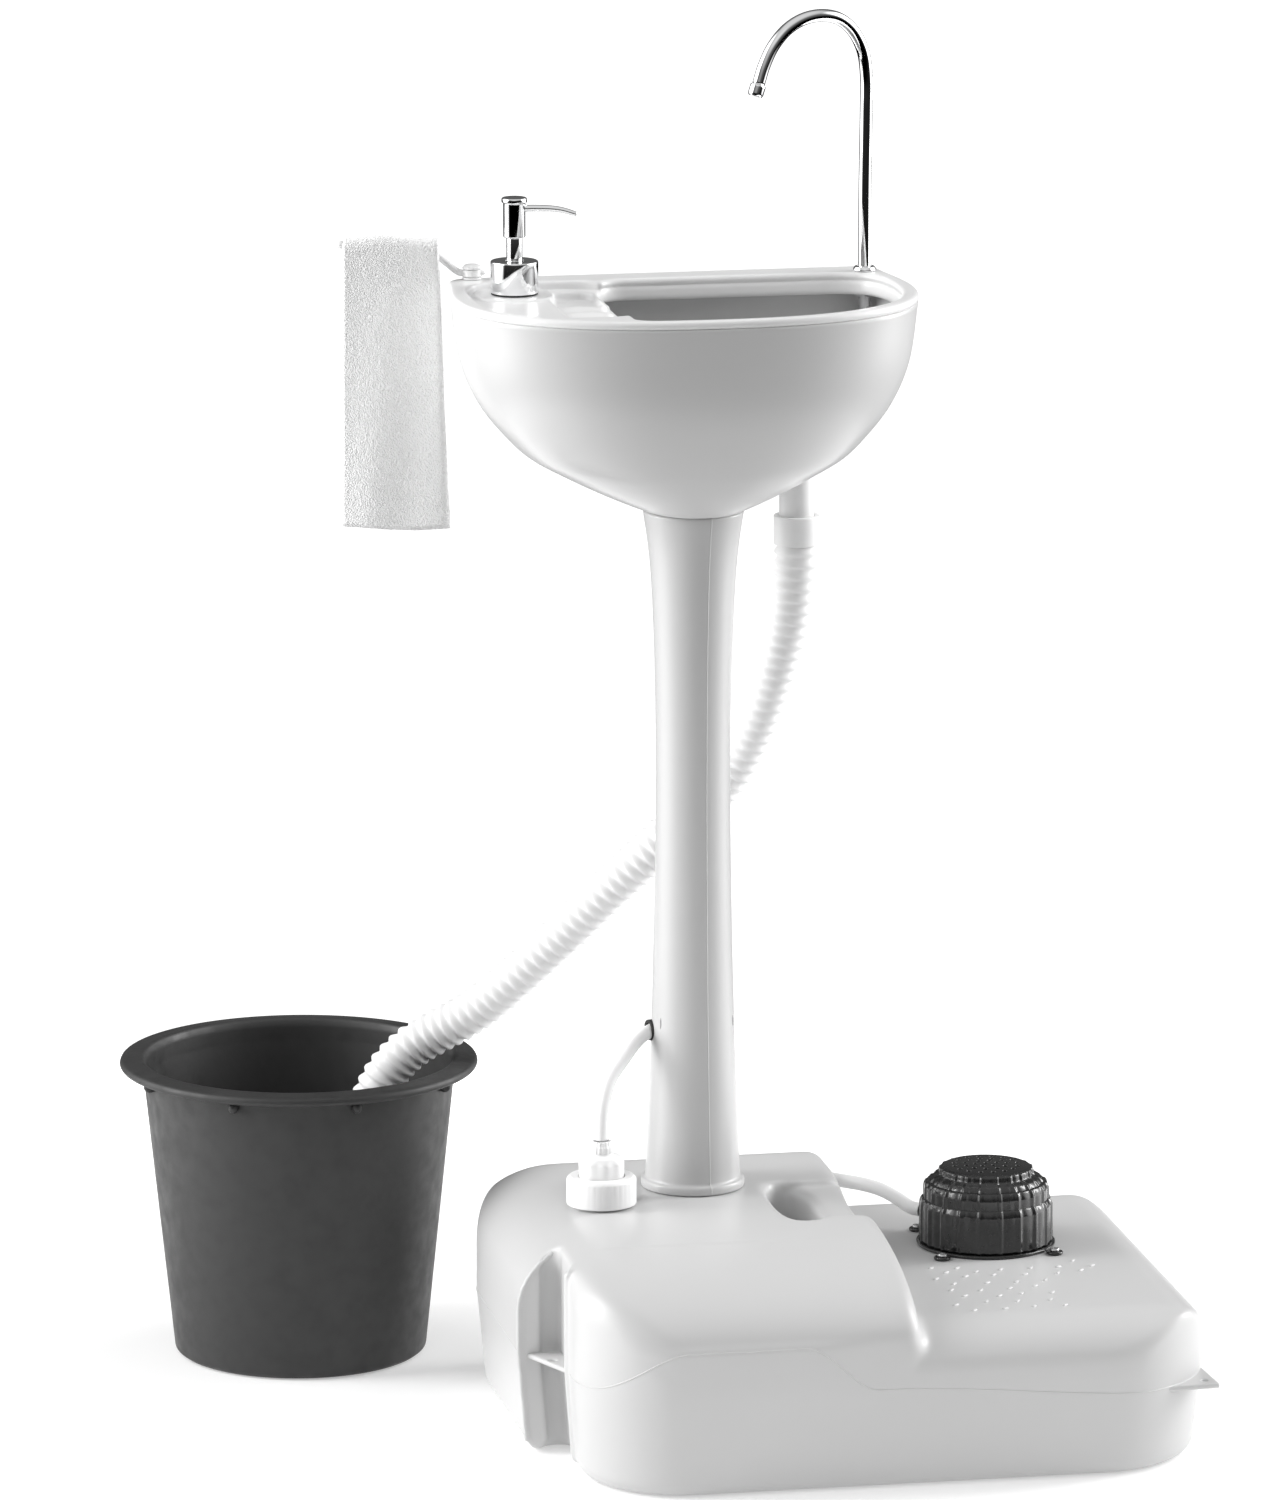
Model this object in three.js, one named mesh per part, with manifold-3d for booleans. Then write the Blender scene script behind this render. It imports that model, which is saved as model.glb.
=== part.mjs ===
// Portable handwash sink: a water tank with a foot pump, a column, a basin with a swivel tap, a soap pump,
// a towel arm with its towel, a drain hose and a waste bucket. Millimetres, +Z up, front towards -Y.
// The origin is on the floor under the column's axis.
import * as THREE from 'three';
import { mergeVertices } from 'three/addons/utils/BufferGeometryUtils.js';
import Module from 'manifold-3d';

const wasm = await Module();
wasm.setup();

// ---------------------------------------------------------------- driving dimensions

const GAP = 0.3;

const TANK = { left: -197, right: 437, front: -345, back: 168, wall: 3.5, cornerLeft: 110, cornerRight: 112 };
const FRONT_LEFT = { x: -62, radius: 100 };
const RAISED = { top: 209, shoulder: 138, flatFront: -130, flatBack: 92 };
const DECK = { top: 150, shoulder: 106, flatFront: -285, flatBack: 100 };
const STEP = { from: 124, to: 164 };
const PARTING = 97;
const DRAFT = 0.028;
const NOTCH = { depthX: -162, backY: -160 };
const HANDLE = { x: 83, y: -74, halfWidth: 20, halfLength: 68, floor: 146 };

const CAP = { x: -99, y: -58, radius: 33 };
const PUMP = { x: 275, y: -45, base: DECK.top };
const COLUMN_TOP = 860;
const RIM = 1061.5;
const LIP = 7;
const RIM_WIDTH = 15;
const BASIN = { halfBack: 208, rightShare: 0.98, front: -138, back: 149, wideY: 35, wall: 3 };
const SOAP = { x: -154, y: 85, deck: RIM - 8 };
const TAP = { x: 188, y: 117 };
const DRAIN = { x: 108, y: 45, bowlFloor: 940 };
const TOWEL_PIVOT = { x: -185, y: 138 };
const BUCKET = { x: -338, y: 248, baseRadius: 122, bodyRadius: 150, rimRadius: 173, height: 292 };

const AIR_HOSE_DIAMETER = 13;
const WATER_HOSE_DIAMETER = 13;
const DRAIN_HOSE_DIAMETER = 44;

// ---------------------------------------------------------------- solids

function toSolid(geometry) {
  const bare = geometry.clone();
  bare.deleteAttribute('normal');
  bare.deleteAttribute('uv');
  const merged = mergeVertices(bare, 1e-4);
  const vertProperties = new Float32Array(merged.attributes.position.array);
  const triVerts = new Uint32Array(merged.index.array);
  return new wasm.Manifold(new wasm.Mesh({ numProp: 3, vertProperties, triVerts }));
}

function toGeometry(solid) {
  const mesh = solid.getMesh();
  const geometry = new THREE.BufferGeometry();
  geometry.setAttribute('position', new THREE.BufferAttribute(new Float32Array(mesh.vertProperties), 3));
  geometry.setIndex(new THREE.BufferAttribute(new Uint32Array(mesh.triVerts), 1));
  geometry.computeVertexNormals();
  return geometry;
}

function cut(geometry, ...tools) {
  let solid = toSolid(geometry);
  for (const tool of tools) solid = solid.subtract(toSolid(tool));
  return toGeometry(solid);
}

function join(geometry, ...others) {
  let solid = toSolid(geometry);
  for (const other of others) solid = solid.add(toSolid(other));
  return toGeometry(solid);
}

// A solid of revolution about Z. The profile's [radius, height] points run anticlockwise.
function turned(profile, sides = 24) {
  const points = profile.map(([r, z]) => new THREE.Vector2(r, z));
  return new THREE.LatheGeometry(points, sides).rotateX(Math.PI / 2);
}

function sleeve(inner, outer, low, high, sides = 24) {
  return turned([[inner, low], [outer, low], [outer, high], [inner, high], [inner, low]], sides);
}

function rod(radius, low, high, sides = 20) {
  return turned([[0, low], [radius, low], [radius, high], [0, high]], sides);
}

function hexNut(bore, radius, low, high) {
  return cut(rod(radius, low, high, 6), rod(bore, low - 1, high + 1, 16));
}

function block(low, high) {
  const size = high.map((value, i) => value - low[i]);
  const centre = high.map((value, i) => (value + low[i]) / 2);
  return new THREE.BoxGeometry(...size).translate(...centre);
}

function prism(outline, low, high) {
  const shape = new THREE.Shape(outline.map(([x, y]) => new THREE.Vector2(x, y)));
  const settings = { depth: high - low, bevelEnabled: false, curveSegments: 8 };
  return new THREE.ExtrudeGeometry(shape, settings).translate(0, 0, low);
}

// A round bar along a smooth curve through the given points.
function bar(points, radius, steps, sides = 10) {
  const curve = new THREE.CatmullRomCurve3(points.map((p) => new THREE.Vector3(...p)), false, 'centripetal');
  const section = [];
  for (let i = 0; i < sides; i++) {
    const angle = (i / sides) * 2 * Math.PI;
    section.push(new THREE.Vector2(radius * Math.cos(angle), radius * Math.sin(angle)));
  }
  const settings = { steps, extrudePath: curve, bevelEnabled: false };
  return new THREE.ExtrudeGeometry(new THREE.Shape(section), settings);
}

// A closed skin through rings of equal length, each anticlockwise seen from the end it runs towards.
function loft(rings) {
  const count = rings[0].length;
  const points = rings.flat();
  const faces = [];
  for (let k = 0; k < rings.length - 1; k++) {
    for (let i = 0; i < count; i++) {
      const a = k * count + i;
      const b = k * count + ((i + 1) % count);
      faces.push(a, b, a + count, b, b + count, a + count);
    }
  }
  for (const k of [0, rings.length - 1]) {
    const hub = points.length;
    const centre = new THREE.Vector3();
    for (const point of rings[k]) centre.add(point);
    points.push(centre.divideScalar(count));
    for (let i = 0; i < count; i++) {
      const a = k * count + i;
      const b = k * count + ((i + 1) % count);
      if (k === 0) faces.push(hub, b, a);
      else faces.push(hub, a, b);
    }
  }
  const geometry = new THREE.BufferGeometry();
  geometry.setAttribute('position', new THREE.Float32BufferAttribute(points.flatMap((p) => p.toArray()), 3));
  geometry.setIndex(faces);
  return geometry;
}

const lerp = (a, b, t) => a + (b - a) * t;
const rise = (x, from, to) => THREE.MathUtils.smoothstep(x, from, to);
const roundOff = (reach) => 1 - Math.sqrt(Math.max(0, 1 - reach * reach));

// ---------------------------------------------------------------- tank

// The tank is lofted from left to right: each section is a closed outline in the YZ plane.
function tankSection(x, wall) {
  const left = TANK.left + wall;
  const right = TANK.right - wall;
  const nearLeft = Math.max(0, (left + TANK.cornerLeft - x) / TANK.cornerLeft);
  const nearRight = Math.max(0, (x - right + TANK.cornerRight) / TANK.cornerRight);
  const frontLeft = FRONT_LEFT.radius - wall;
  const nearFrontLeft = Math.max(0, (FRONT_LEFT.x - x) / frontLeft);
  const rightCorner = TANK.cornerRight * roundOff(nearRight);
  const front = TANK.front + wall + frontLeft * roundOff(nearFrontLeft) + rightCorner;
  const back = TANK.back - wall - TANK.cornerLeft * roundOff(nearLeft) - rightCorner;
  const blend = rise(x, STEP.from, STEP.to);
  const shoulder = lerp(RAISED.shoulder, DECK.shoulder, blend);
  const flatFront = lerp(RAISED.flatFront, DECK.flatFront, blend);
  const flatBack = lerp(RAISED.flatBack, DECK.flatBack, blend);
  const leftShoulder = Math.max(0, (left + 92 - x) / 92);
  const rightShoulder = Math.max(0, (x - right + 46) / 46);
  const full = lerp(RAISED.top, DECK.top, blend) - wall;
  const endRise = 1 - roundOff(Math.max(leftShoulder, rightShoulder));
  const top = lerp(shoulder, full, endRise);
  const edge = 12;
  const nearEnd = Math.max(0, (left + edge - x) / edge, (x - right + edge) / edge);
  const floor = wall + edge * roundOff(nearEnd);
  const points = [];
  const push = (y, z) => points.push([y, z]);
  for (const turn of [0, 1]) {
    const angle = turn * Math.PI / 2;
    push(back - edge * (1 - Math.sin(angle)), floor + edge * (1 - Math.cos(angle)));
  }
  push(back, PARTING);
  const steps = 4;
  for (let i = 0; i <= steps; i++) {
    const angle = (i / steps) * Math.PI / 2;
    const inset = (back - Math.min(back, flatBack)) * (1 - Math.cos(angle));
    push(back - inset, shoulder + (top - shoulder) * Math.sin(angle));
  }
  for (let i = steps + 1; i >= 0; i--) {
    const angle = (i / (steps + 1)) * Math.PI / 2;
    const inset = (Math.max(front, flatFront) - front) * (1 - Math.cos(angle));
    push(front + inset, shoulder + (top - shoulder) * Math.sin(angle));
  }
  push(front, PARTING);
  for (const turn of [1, 0]) {
    const angle = turn * Math.PI / 2;
    push(front + edge * (1 - Math.sin(angle)), floor + edge * (1 - Math.cos(angle)));
  }
  const middleX = (TANK.left + TANK.right) / 2;
  const middleY = (TANK.front + TANK.back) / 2;
  return points.map(([y, z]) => {
    const taper = 1 - DRAFT * Math.max(0, 1 - z / PARTING);
    return new THREE.Vector3(middleX + (x - middleX) * taper, middleY + (y - middleY) * taper, z);
  });
}

function tankBody(wall) {
  const left = TANK.left + wall;
  const right = TANK.right - wall;
  const stations = [0, 4, 12, 26, 38, 50, 66, 88, 110, 135].map((d) => left + d);
  for (let i = 0; i <= 5; i++) stations.push(lerp(STEP.from, STEP.to, i / 5));
  for (const d of [112, 80, 55, 34, 17, 6, 0]) stations.push(right - d);
  return loft(stations.map((x) => tankSection(x, wall)));
}

// The upright notch in the left side, as a tall cutter. In front of it the tank is narrower.
function cornerNotch(wall) {
  const frontmost = TANK.front - 20;
  const outline = [
    [TANK.left - 40, NOTCH.backY + wall],
    [TANK.left + 12, NOTCH.backY + wall],
    [NOTCH.depthX + wall - 5, NOTCH.backY - 7 + wall],
    [NOTCH.depthX + wall, NOTCH.backY - 18],
    [NOTCH.depthX + wall, frontmost],
    [TANK.left - 40, frontmost],
  ];
  return prism(outline, -10, RAISED.top + 30);
}

// A long oval recess whose right side is the carrying handle.
function handlePocket(wall) {
  const outline = [];
  for (let i = 0; i < 20; i++) {
    const angle = (i / 20) * 2 * Math.PI;
    const across = Math.sign(Math.cos(angle)) * Math.abs(Math.cos(angle)) ** 0.75;
    const along = Math.sign(Math.sin(angle)) * Math.abs(Math.sin(angle)) ** 0.75;
    outline.push([
      HANDLE.x + (HANDLE.halfWidth + wall) * across, HANDLE.y + (HANDLE.halfLength + wall) * along,
    ]);
  }
  return prism(outline, HANDLE.floor - wall, RAISED.top + 30);
}

function tankTab(outline, height, hole) {
  return cut(prism(outline, height, height + 5), rod(3.5, height - 5, height + 10, 10).translate(...hole, 0));
}

function makeTank() {
  const middle = TANK.front + TANK.back;
  const mirror = (points) => points.map(([x, y]) => [x, middle - y]);
  const notchTab = [[-192, -157], [-155, -157], [-150, -226], [-163, -226]];
  const cornerTab = [[376, -327], [437, -322], [434, -262], [400, -270]];
  const neck = rod(26, RAISED.top - 12, 225).translate(CAP.x, CAP.y, 0);
  const socket = rod(37.5, RAISED.top - 6, 232, 24);
  let solid = toSolid(tankBody(0)).subtract(toSolid(cornerNotch(0))).subtract(toSolid(handlePocket(0)));
  for (const part of [neck, socket]) solid = solid.add(toSolid(part));
  const hollow = toSolid(tankBody(TANK.wall)).subtract(toSolid(cornerNotch(TANK.wall)))
    .subtract(toSolid(handlePocket(TANK.wall)));
  solid = solid.subtract(hollow).add(toSolid(tankTab(notchTab, 92, [-170, -188])));
  solid = solid.add(toSolid(tankTab(cornerTab, 74, [424, -308])));
  solid = solid.add(toSolid(tankTab(mirror(cornerTab), 74, [424, middle + 308])));
  const neckBore = rod(21.5, RAISED.top - 20, 240).translate(CAP.x, CAP.y, 0);
  return toGeometry(solid.subtract(toSolid(neckBore)).subtract(toSolid(intoStep(rod(6.1, 0, 26, 12)))));
}

// ---------------------------------------------------------------- filler cap and hoses

const CAP_TOP = 238;

function makeCapRing() {
  return turned([
    [26.5, 211], [CAP.radius, 211], [CAP.radius, 235], [30, CAP_TOP], [22, CAP_TOP], [22, 231.2],
    [26.5, 231.2], [26.5, 211],
  ], 28);
}

function makeAdapter() {
  return turned([
    [3.5, 206], [8, 206], [8, 227.4], [25.4, 227.4], [25.4, 230.8], [21.4, 230.8], [21.4, 252],
    [18, 257], [11, 260], [3.5, 260], [3.5, 206],
  ], 24);
}

const WATER_ROUTE = [
  [-99, -58, 272.6], [-99, -58, 286], [-96.5, -54, 304], [-89, -46, 325], [-72, -31, 343], [-54, -11, 356],
  [-38, 4, 361], [-20, 8, 368], [-8, 8, 390], [-4, 6, 430], [-3, 5, 520], [-3, 5, 640], [-3, 5, 780],
  [-4, 12, 850], [0, 50, 892], [20, 96, 918], [70, 121, 944], [130, 123, 959], [163, 119, 971],
  [183, 117, 985], [188, 117, 995], [188, 117, 1008.6],
];

const AIR_ROUTE = [
  [223.3, 6.7, 171.3], [216, 14, 171.8], [205, 27, 178], [193, 40, 183.5], [179, 54, 186], [163, 69, 186.5],
  [150, 81.5, 186.5],
];

// Takes a stub made up the Z axis to the end of the air hose, pointing into the step's side wall.
function intoStep(stub) {
  return stub.rotateY(-Math.PI / 2).rotateZ(THREE.MathUtils.degToRad(-44)).translate(...AIR_ROUTE.at(-1));
}

// ---------------------------------------------------------------- foot pump

const SKIRT = { low: 3.3, top: 46, outer: 64, wall: 3 };
const SCREW_CIRCLE = 77;

function pumpPart(geometry) {
  return geometry.translate(PUMP.x, PUMP.y, PUMP.base + GAP);
}

function makePumpFlange() {
  const outline = [];
  for (let i = 0; i < 4; i++) {
    const middle = Math.PI / 4 + (i * Math.PI) / 2;
    for (const turn of [-0.17, -0.055, 0.055, 0.17]) {
      const reach = Math.abs(turn) > 0.1 ? SCREW_CIRCLE - 9 : SCREW_CIRCLE + 8;
      outline.push([reach * Math.cos(middle + turn), reach * Math.sin(middle + turn)]);
    }
    for (const turn of [0.5, 0.785, 1.07]) {
      outline.push([66 * Math.cos(middle + turn), 66 * Math.sin(middle + turn)]);
    }
  }
  const holes = [];
  for (let i = 0; i < 4; i++) {
    const angle = Math.PI / 4 + (i * Math.PI) / 2;
    const [x, y] = [SCREW_CIRCLE * Math.cos(angle), SCREW_CIRCLE * Math.sin(angle)];
    holes.push(rod(2.6, -5, 10, 8).translate(x, y, 0));
  }
  return pumpPart(cut(prism(outline, 0, 3), ...holes, rod(9, -5, 10, 16)));
}

function makePumpScrew(i) {
  const angle = Math.PI / 4 + (i * Math.PI) / 2;
  const screw = turned([[0, 0.2], [2.2, 0.2], [2.2, 3.3], [4.6, 3.3], [4.2, 5], [2.5, 6], [0, 6.2]], 10);
  return pumpPart(screw.translate(SCREW_CIRCLE * Math.cos(angle), SCREW_CIRCLE * Math.sin(angle), 0));
}

function makePumpSkirtLower() {
  const inner = SKIRT.outer - SKIRT.wall;
  const shell = turned([
    [inner, SKIRT.low], [SKIRT.outer, SKIRT.low], [SKIRT.outer, 42], [SKIRT.outer - 1.5, SKIRT.top],
    [inner, SKIRT.top], [inner, SKIRT.low],
  ], 28);
  const port = new THREE.CylinderGeometry(6.5, 6.5, 30, 12).rotateZ(Math.PI / 2).translate(-64, 0, 21);
  return pumpPart(cut(shell, port.rotateZ(-Math.PI / 4)));
}

function makePumpSkirtMiddle() {
  return pumpPart(turned([
    [57, 30], [60.2, 30], [60.2, 58], [58.5, 61.5], [55.2, 61.5], [55.2, 58.5], [57, 58.5], [57, 30],
  ], 28));
}

function makePumpTreadCap() {
  const profile = [
    [0, 71], [40, 69], [50, 61.5], [52, 58.5], [52, 50], [56.2, 50], [56.2, 54], [54.6, 56], [54.6, 62.5],
    [52, 66.5], [44, 72], [42, 74.5], [30, 76.6], [0, 78],
  ];
  return pumpPart(turned(profile, 28));
}

function makePumpSpring() {
  const turns = 5;
  const points = [];
  const low = 9;
  const high = 67.5;
  for (let i = 0; i <= turns * 10; i++) {
    const angle = (i / 10) * 2 * Math.PI;
    points.push([22 * Math.cos(angle), 22 * Math.sin(angle), lerp(low, high, i / (turns * 10))]);
  }
  return pumpPart(bar(points, 1.6, turns * 10, 6));
}

function makePumpBarb() {
  const stem = sleeve(3.5, 6, 0, 12, 12).rotateY(-Math.PI / 2).rotateZ(-Math.PI / 4);
  return stem.translate(PUMP.x - 42.6, PUMP.y + 42.6, PUMP.base + 21.3);
}

// ---------------------------------------------------------------- column

function makeColumn() {
  const foot = RAISED.top + 0.5;
  const outer = [
    [49, foot], [49.5, foot + 5], [48, foot + 9], [44.8, foot + 9.5], [38.5, 387], [35, 578], [35.5, 675],
    [37.5, 751], [40.6, 808], [44, 838], [47.7, COLUMN_TOP],
  ];
  const inner = [[44.2, COLUMN_TOP], [40.6, 838], [37, 808], [32, 675], [31.4, 578], [35, 387]];
  const shell = turned([...outer, ...inner, [41, foot], [49, foot]], 24);
  const port = new THREE.CylinderGeometry(10.5, 10.5, 40, 12).rotateZ(Math.PI / 2).translate(-38, 3, 361);
  return cut(shell, port);
}

// ---------------------------------------------------------------- basin

// A D-shaped outline: straight across the back, rounded across the front, anticlockwise, and a little
// shorter to the right of the column than to the left.
function basinOutline(half, halfBack, front, back, z) {
  const ring = [];
  const exponent = 2 / 2.35;
  for (let i = 0; i <= 16; i++) {
    const angle = Math.PI + (i / 16) * Math.PI;
    const across = Math.sign(Math.cos(angle)) * Math.abs(Math.cos(angle)) ** exponent;
    const along = Math.abs(Math.sin(angle)) ** exponent;
    ring.push(new THREE.Vector3(half * across, lerp(BASIN.wideY, front, along), z));
  }
  const corner = Math.min(14, halfBack * 0.2);
  const side = lerp(half, halfBack, 0.55);
  ring.push(new THREE.Vector3(side, lerp(BASIN.wideY, back, 0.6), z));
  ring.push(new THREE.Vector3(halfBack, back - corner, z));
  ring.push(new THREE.Vector3(halfBack - corner * 0.3, back - corner * 0.3, z));
  ring.push(new THREE.Vector3(halfBack - corner, back, z));
  for (const across of [0.5, 0, -0.5]) ring.push(new THREE.Vector3(halfBack * across, back, z));
  ring.push(new THREE.Vector3(-halfBack + corner, back, z));
  ring.push(new THREE.Vector3(-halfBack + corner * 0.3, back - corner * 0.3, z));
  ring.push(new THREE.Vector3(-halfBack, back - corner, z));
  ring.push(new THREE.Vector3(-side, lerp(BASIN.wideY, back, 0.6), z));
  const rightShare = lerp(1, BASIN.rightShare, THREE.MathUtils.clamp(half / 100 - 0.6, 0, 1));
  for (const point of ring) point.x *= point.x > 0 ? rightShare : 1;
  return ring;
}

// Heights of the outer shell with its half width at each.
const SHELL = [
  [861, 50], [868, 68], [880, 95], [895, 125], [911, 153], [930, 173], [958, 195], [995, 211.5],
  [RIM - LIP - 0.8, 220.5],
];

function shellRing(z, half, wall) {
  const share = (half - 50) / (220.5 - 50);
  const front = lerp(-50, BASIN.front, share ** 0.9);
  const back = lerp(100, BASIN.back, Math.min(1, share * 1.9));
  const halfBack = lerp(40, BASIN.halfBack, share);
  return basinOutline(half - wall, halfBack - wall, front + wall, back - wall, z);
}

function makeBasinShell() {
  const outer = loft(SHELL.map(([z, half]) => shellRing(z, half, 0)));
  const inner = loft(SHELL.map(([z, half], i) => {
    const lift = i === 0 ? 3.2 : (i === SHELL.length - 1 ? 5 : 0.8);
    return shellRing(z + lift, half, i < 3 ? 5 : BASIN.wall);
  }));
  const spigot = rod(40, 838, 864, 28);
  const throat = rod(36.8, 830, 872, 28);
  const pipeHole = rod(19, 850, 925, 20).translate(DRAIN.x, DRAIN.y, 0);
  return toGeometry(toSolid(outer).subtract(toSolid(inner)).add(toSolid(spigot)).subtract(toSolid(throat))
    .subtract(toSolid(pipeHole)));
}

function roundedRing(low, high, radiusLeft, radiusRight, z) {
  const ring = [];
  const corners = [
    [high[0], high[1], radiusRight, 0], [low[0], high[1], radiusLeft, 1],
    [low[0], low[1], radiusLeft, 2], [high[0], low[1], radiusRight, 3],
  ];
  for (const [x, y, radius, quarter] of corners) {
    const cx = x + (x > low[0] ? -radius : radius);
    const cy = y + (y > low[1] ? -radius : radius);
    for (let i = 0; i <= 4; i++) {
      const angle = (quarter + i / 4) * Math.PI / 2;
      ring.push(new THREE.Vector3(cx + radius * Math.cos(angle), cy + radius * Math.sin(angle), z));
    }
  }
  return ring;
}

// Heights of the bowl's inside, with how far it draws in at each.
const BOWL = [
  [DRAIN.bowlFloor, 46], [DRAIN.bowlFloor + 3, 34], [DRAIN.bowlFloor + 12, 22], [DRAIN.bowlFloor + 30, 13],
  [DRAIN.bowlFloor + 62, 6], [RIM - 6, 0], [RIM + 6, 0],
];

// The bowl follows the basin's outline a rim's width inside it. wall is 0 for the inside and the skin's
// thickness for the outside.
function bowlBody(wall) {
  const levels = wall > 0 ? BOWL.slice(0, -1) : BOWL;
  const rings = levels.map(([z, inset]) => {
    const low = [-75 + inset - wall, -140 + inset * 1.2 - wall];
    const high = [212 - inset * 1.1 + wall, 113 - inset * 0.7 + wall];
    return roundedRing(low, high, Math.max(16, 32 - inset * 0.3) + wall, 70 - inset * 0.6 + wall, z - wall);
  });
  const bounds = SHELL.slice(2).map(([z, half]) => shellRing(z, half, RIM_WIDTH - wall));
  bounds.push(shellRing(RIM + 10, 220.5, RIM_WIDTH - wall));
  return toSolid(loft(rings)).intersect(toSolid(loft(bounds)));
}

function makeBasinTop() {
  const plug = BASIN.wall + 2.2;
  const rings = [
    shellRing(RIM - 12, 220.5, plug), shellRing(RIM - LIP - 0.2, 220.5, plug), shellRing(RIM - LIP, 220.5, 0),
    shellRing(RIM - 3, 221.5, -0.5), shellRing(RIM, 221, 3),
  ];
  const deck = loft([
    roundedRing([-206, -92], [-60, 112], 48, 10, SOAP.deck),
    roundedRing([-206, -92], [-60, 112], 48, 10, RIM + 5),
  ]);
  const dish = loft([
    roundedRing([-122, -84], [-60, 96], 14, 6, RIM - 16),
    roundedRing([-125, -88], [-60, 100], 16, 6, RIM + 5),
  ]);
  const pad = rod(39, SOAP.deck - 3, SOAP.deck + 1.5, 28).translate(SOAP.x, SOAP.y, 0);
  const floor = block([-130, -90, RIM - 19], [-70, 102, RIM - 12]);
  let solid = toSolid(loft(rings)).add(toSolid(floor)).add(bowlBody(BASIN.wall));
  solid = solid.subtract(toSolid(deck)).add(toSolid(pad)).subtract(toSolid(dish)).subtract(bowlBody(0));
  const holes = [
    [SOAP, 16, 1030, 1070], [TAP, 6.3, 1030, 1070], [DRAIN, 16.2, 920, 950], [TOWEL_PIVOT, 2.4, 1030, 1070],
  ];
  for (const [place, radius, low, high] of holes) {
    solid = solid.subtract(toSolid(rod(radius, low, high, 16).translate(place.x, place.y, 0)));
  }
  return toGeometry(solid);
}

// ---------------------------------------------------------------- drain

function drainPart(geometry) {
  return geometry.translate(DRAIN.x, DRAIN.y, DRAIN.bowlFloor);
}

function makeStrainer() {
  const flange = turned([
    [12, -34], [15.6, -34], [15.6, 0.4], [23, 0.4], [22, 2.6], [14, 2.6], [12, 0.5], [12, -34],
  ]);
  const crossbars = [block([-13, -1.5, -4], [13, 1.5, 0.4]), block([-1.5, -13, -4], [1.5, 13, 0.4])];
  return drainPart(join(flange, ...crossbars));
}

const DRAIN_ROUTE = [
  [108.5, 45, 814.6], [108.3, 45.2, 798], [107, 46, 780], [102.5, 50, 741], [93.5, 56, 702], [82.5, 64, 662],
  [70.5, 74, 626], [55, 84, 592], [28, 96, 556], [-12, 110, 516], [-54, 127, 472], [-98, 149, 422],
  [-139, 170, 378], [-166, 186, 350], [-188, 198, 332], [-208, 208, 319], [-231, 217, 303], [-252, 223, 281],
  [-267, 227, 254], [-275, 229, 226], [-279, 230, 198],
];

function makeCuffEnd() {
  const end = new THREE.Vector3(...DRAIN_ROUTE.at(-1));
  const along = end.clone().sub(new THREE.Vector3(...DRAIN_ROUTE.at(-2))).normalize();
  const cuff = sleeve(19, 22.5, 1.2, 28, 20);
  cuff.applyQuaternion(new THREE.Quaternion().setFromUnitVectors(new THREE.Vector3(0, 0, 1), along));
  return cuff.translate(...end.toArray());
}

// ---------------------------------------------------------------- tap

function makeSpout() {
  const profile = [
    [0, 1062.2], [0, 1140], [-1, 1215], [-1, 1246], [3, 1271], [14, 1291], [29, 1303], [47, 1307.5],
    [67, 1305.5], [85, 1297], [100, 1282], [110, 1264], [116, 1247],
  ];
  const curve = profile.map(([reach, z]) => [TAP.x - 0.95 * reach, TAP.y - 0.31 * reach, z]);
  return bar(curve, 6, 26, 10);
}

function makeNozzle() {
  const tip = new THREE.Vector3(TAP.x - 0.95 * 116, TAP.y - 0.31 * 116, 1247);
  const before = new THREE.Vector3(TAP.x - 0.95 * 110, TAP.y - 0.31 * 110, 1264);
  const along = tip.clone().sub(before).normalize();
  const nozzle = turned([[4, 0.4], [7.2, 0.4], [7.4, 3], [7.4, 10], [6.4, 12], [4, 12], [4, 0.4]], 16);
  nozzle.applyQuaternion(new THREE.Quaternion().setFromUnitVectors(new THREE.Vector3(0, 0, 1), along));
  return nozzle.translate(tip.x, tip.y, tip.z);
}

// ---------------------------------------------------------------- soap pump

function soapPart(geometry) {
  return geometry.translate(SOAP.x, SOAP.y, SOAP.deck + 1.5);
}

function makeSoapCollar() {
  const profile = [
    [10, -26], [15.3, -26], [15.3, 1.8], [22.5, 1.8], [22.5, 30], [21.5, 32], [8.4, 32], [8.4, 26], [10, 26],
    [10, -26],
  ];
  return soapPart(turned(profile, 28));
}

function makeSoapShaft() {
  return soapPart(turned([[0, -14], [3.5, -14], [3.5, 16], [7.5, 16], [7.5, 53.7], [0, 53.7]], 16));
}

function makeSoapHead() {
  const profile = [[0, 54], [10, 54], [10.5, 55], [10.5, 86], [12, 87], [12, 90.5], [10.5, 92], [0, 92]];
  const head = turned(profile, 20);
  const route = [
    [6, -1, 81], [20, -4, 81.3], [33, -6.6, 81], [42, -8.6, 80], [50, -10.4, 78], [57, -12, 75.6],
  ];
  const nozzle = bar(route, 3, 10, 8);
  return soapPart(join(head, nozzle));
}

function makeSoapSpring() {
  const turns = 6;
  const points = [];
  for (let i = 0; i <= turns * 8; i++) {
    const angle = (i / 8) * 2 * Math.PI;
    points.push([6.2 * Math.cos(angle), 6.2 * Math.sin(angle), lerp(-20, 14.7, i / (turns * 8))]);
  }
  return soapPart(bar(points, 0.9, turns * 8, 5));
}

function makeSoapBottle() {
  const outer = [[0, -100], [22, -100], [25, -97], [26, -50], [23, -42], [12.8, -36], [12.8, -26.4]];
  const inner = [[10.8, -26.4], [10.8, -37], [21.5, -43.5], [24, -51], [23, -95], [21, -98], [0, -98]];
  return soapPart(turned([...outer, ...inner], 20));
}

// ---------------------------------------------------------------- towel

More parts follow.
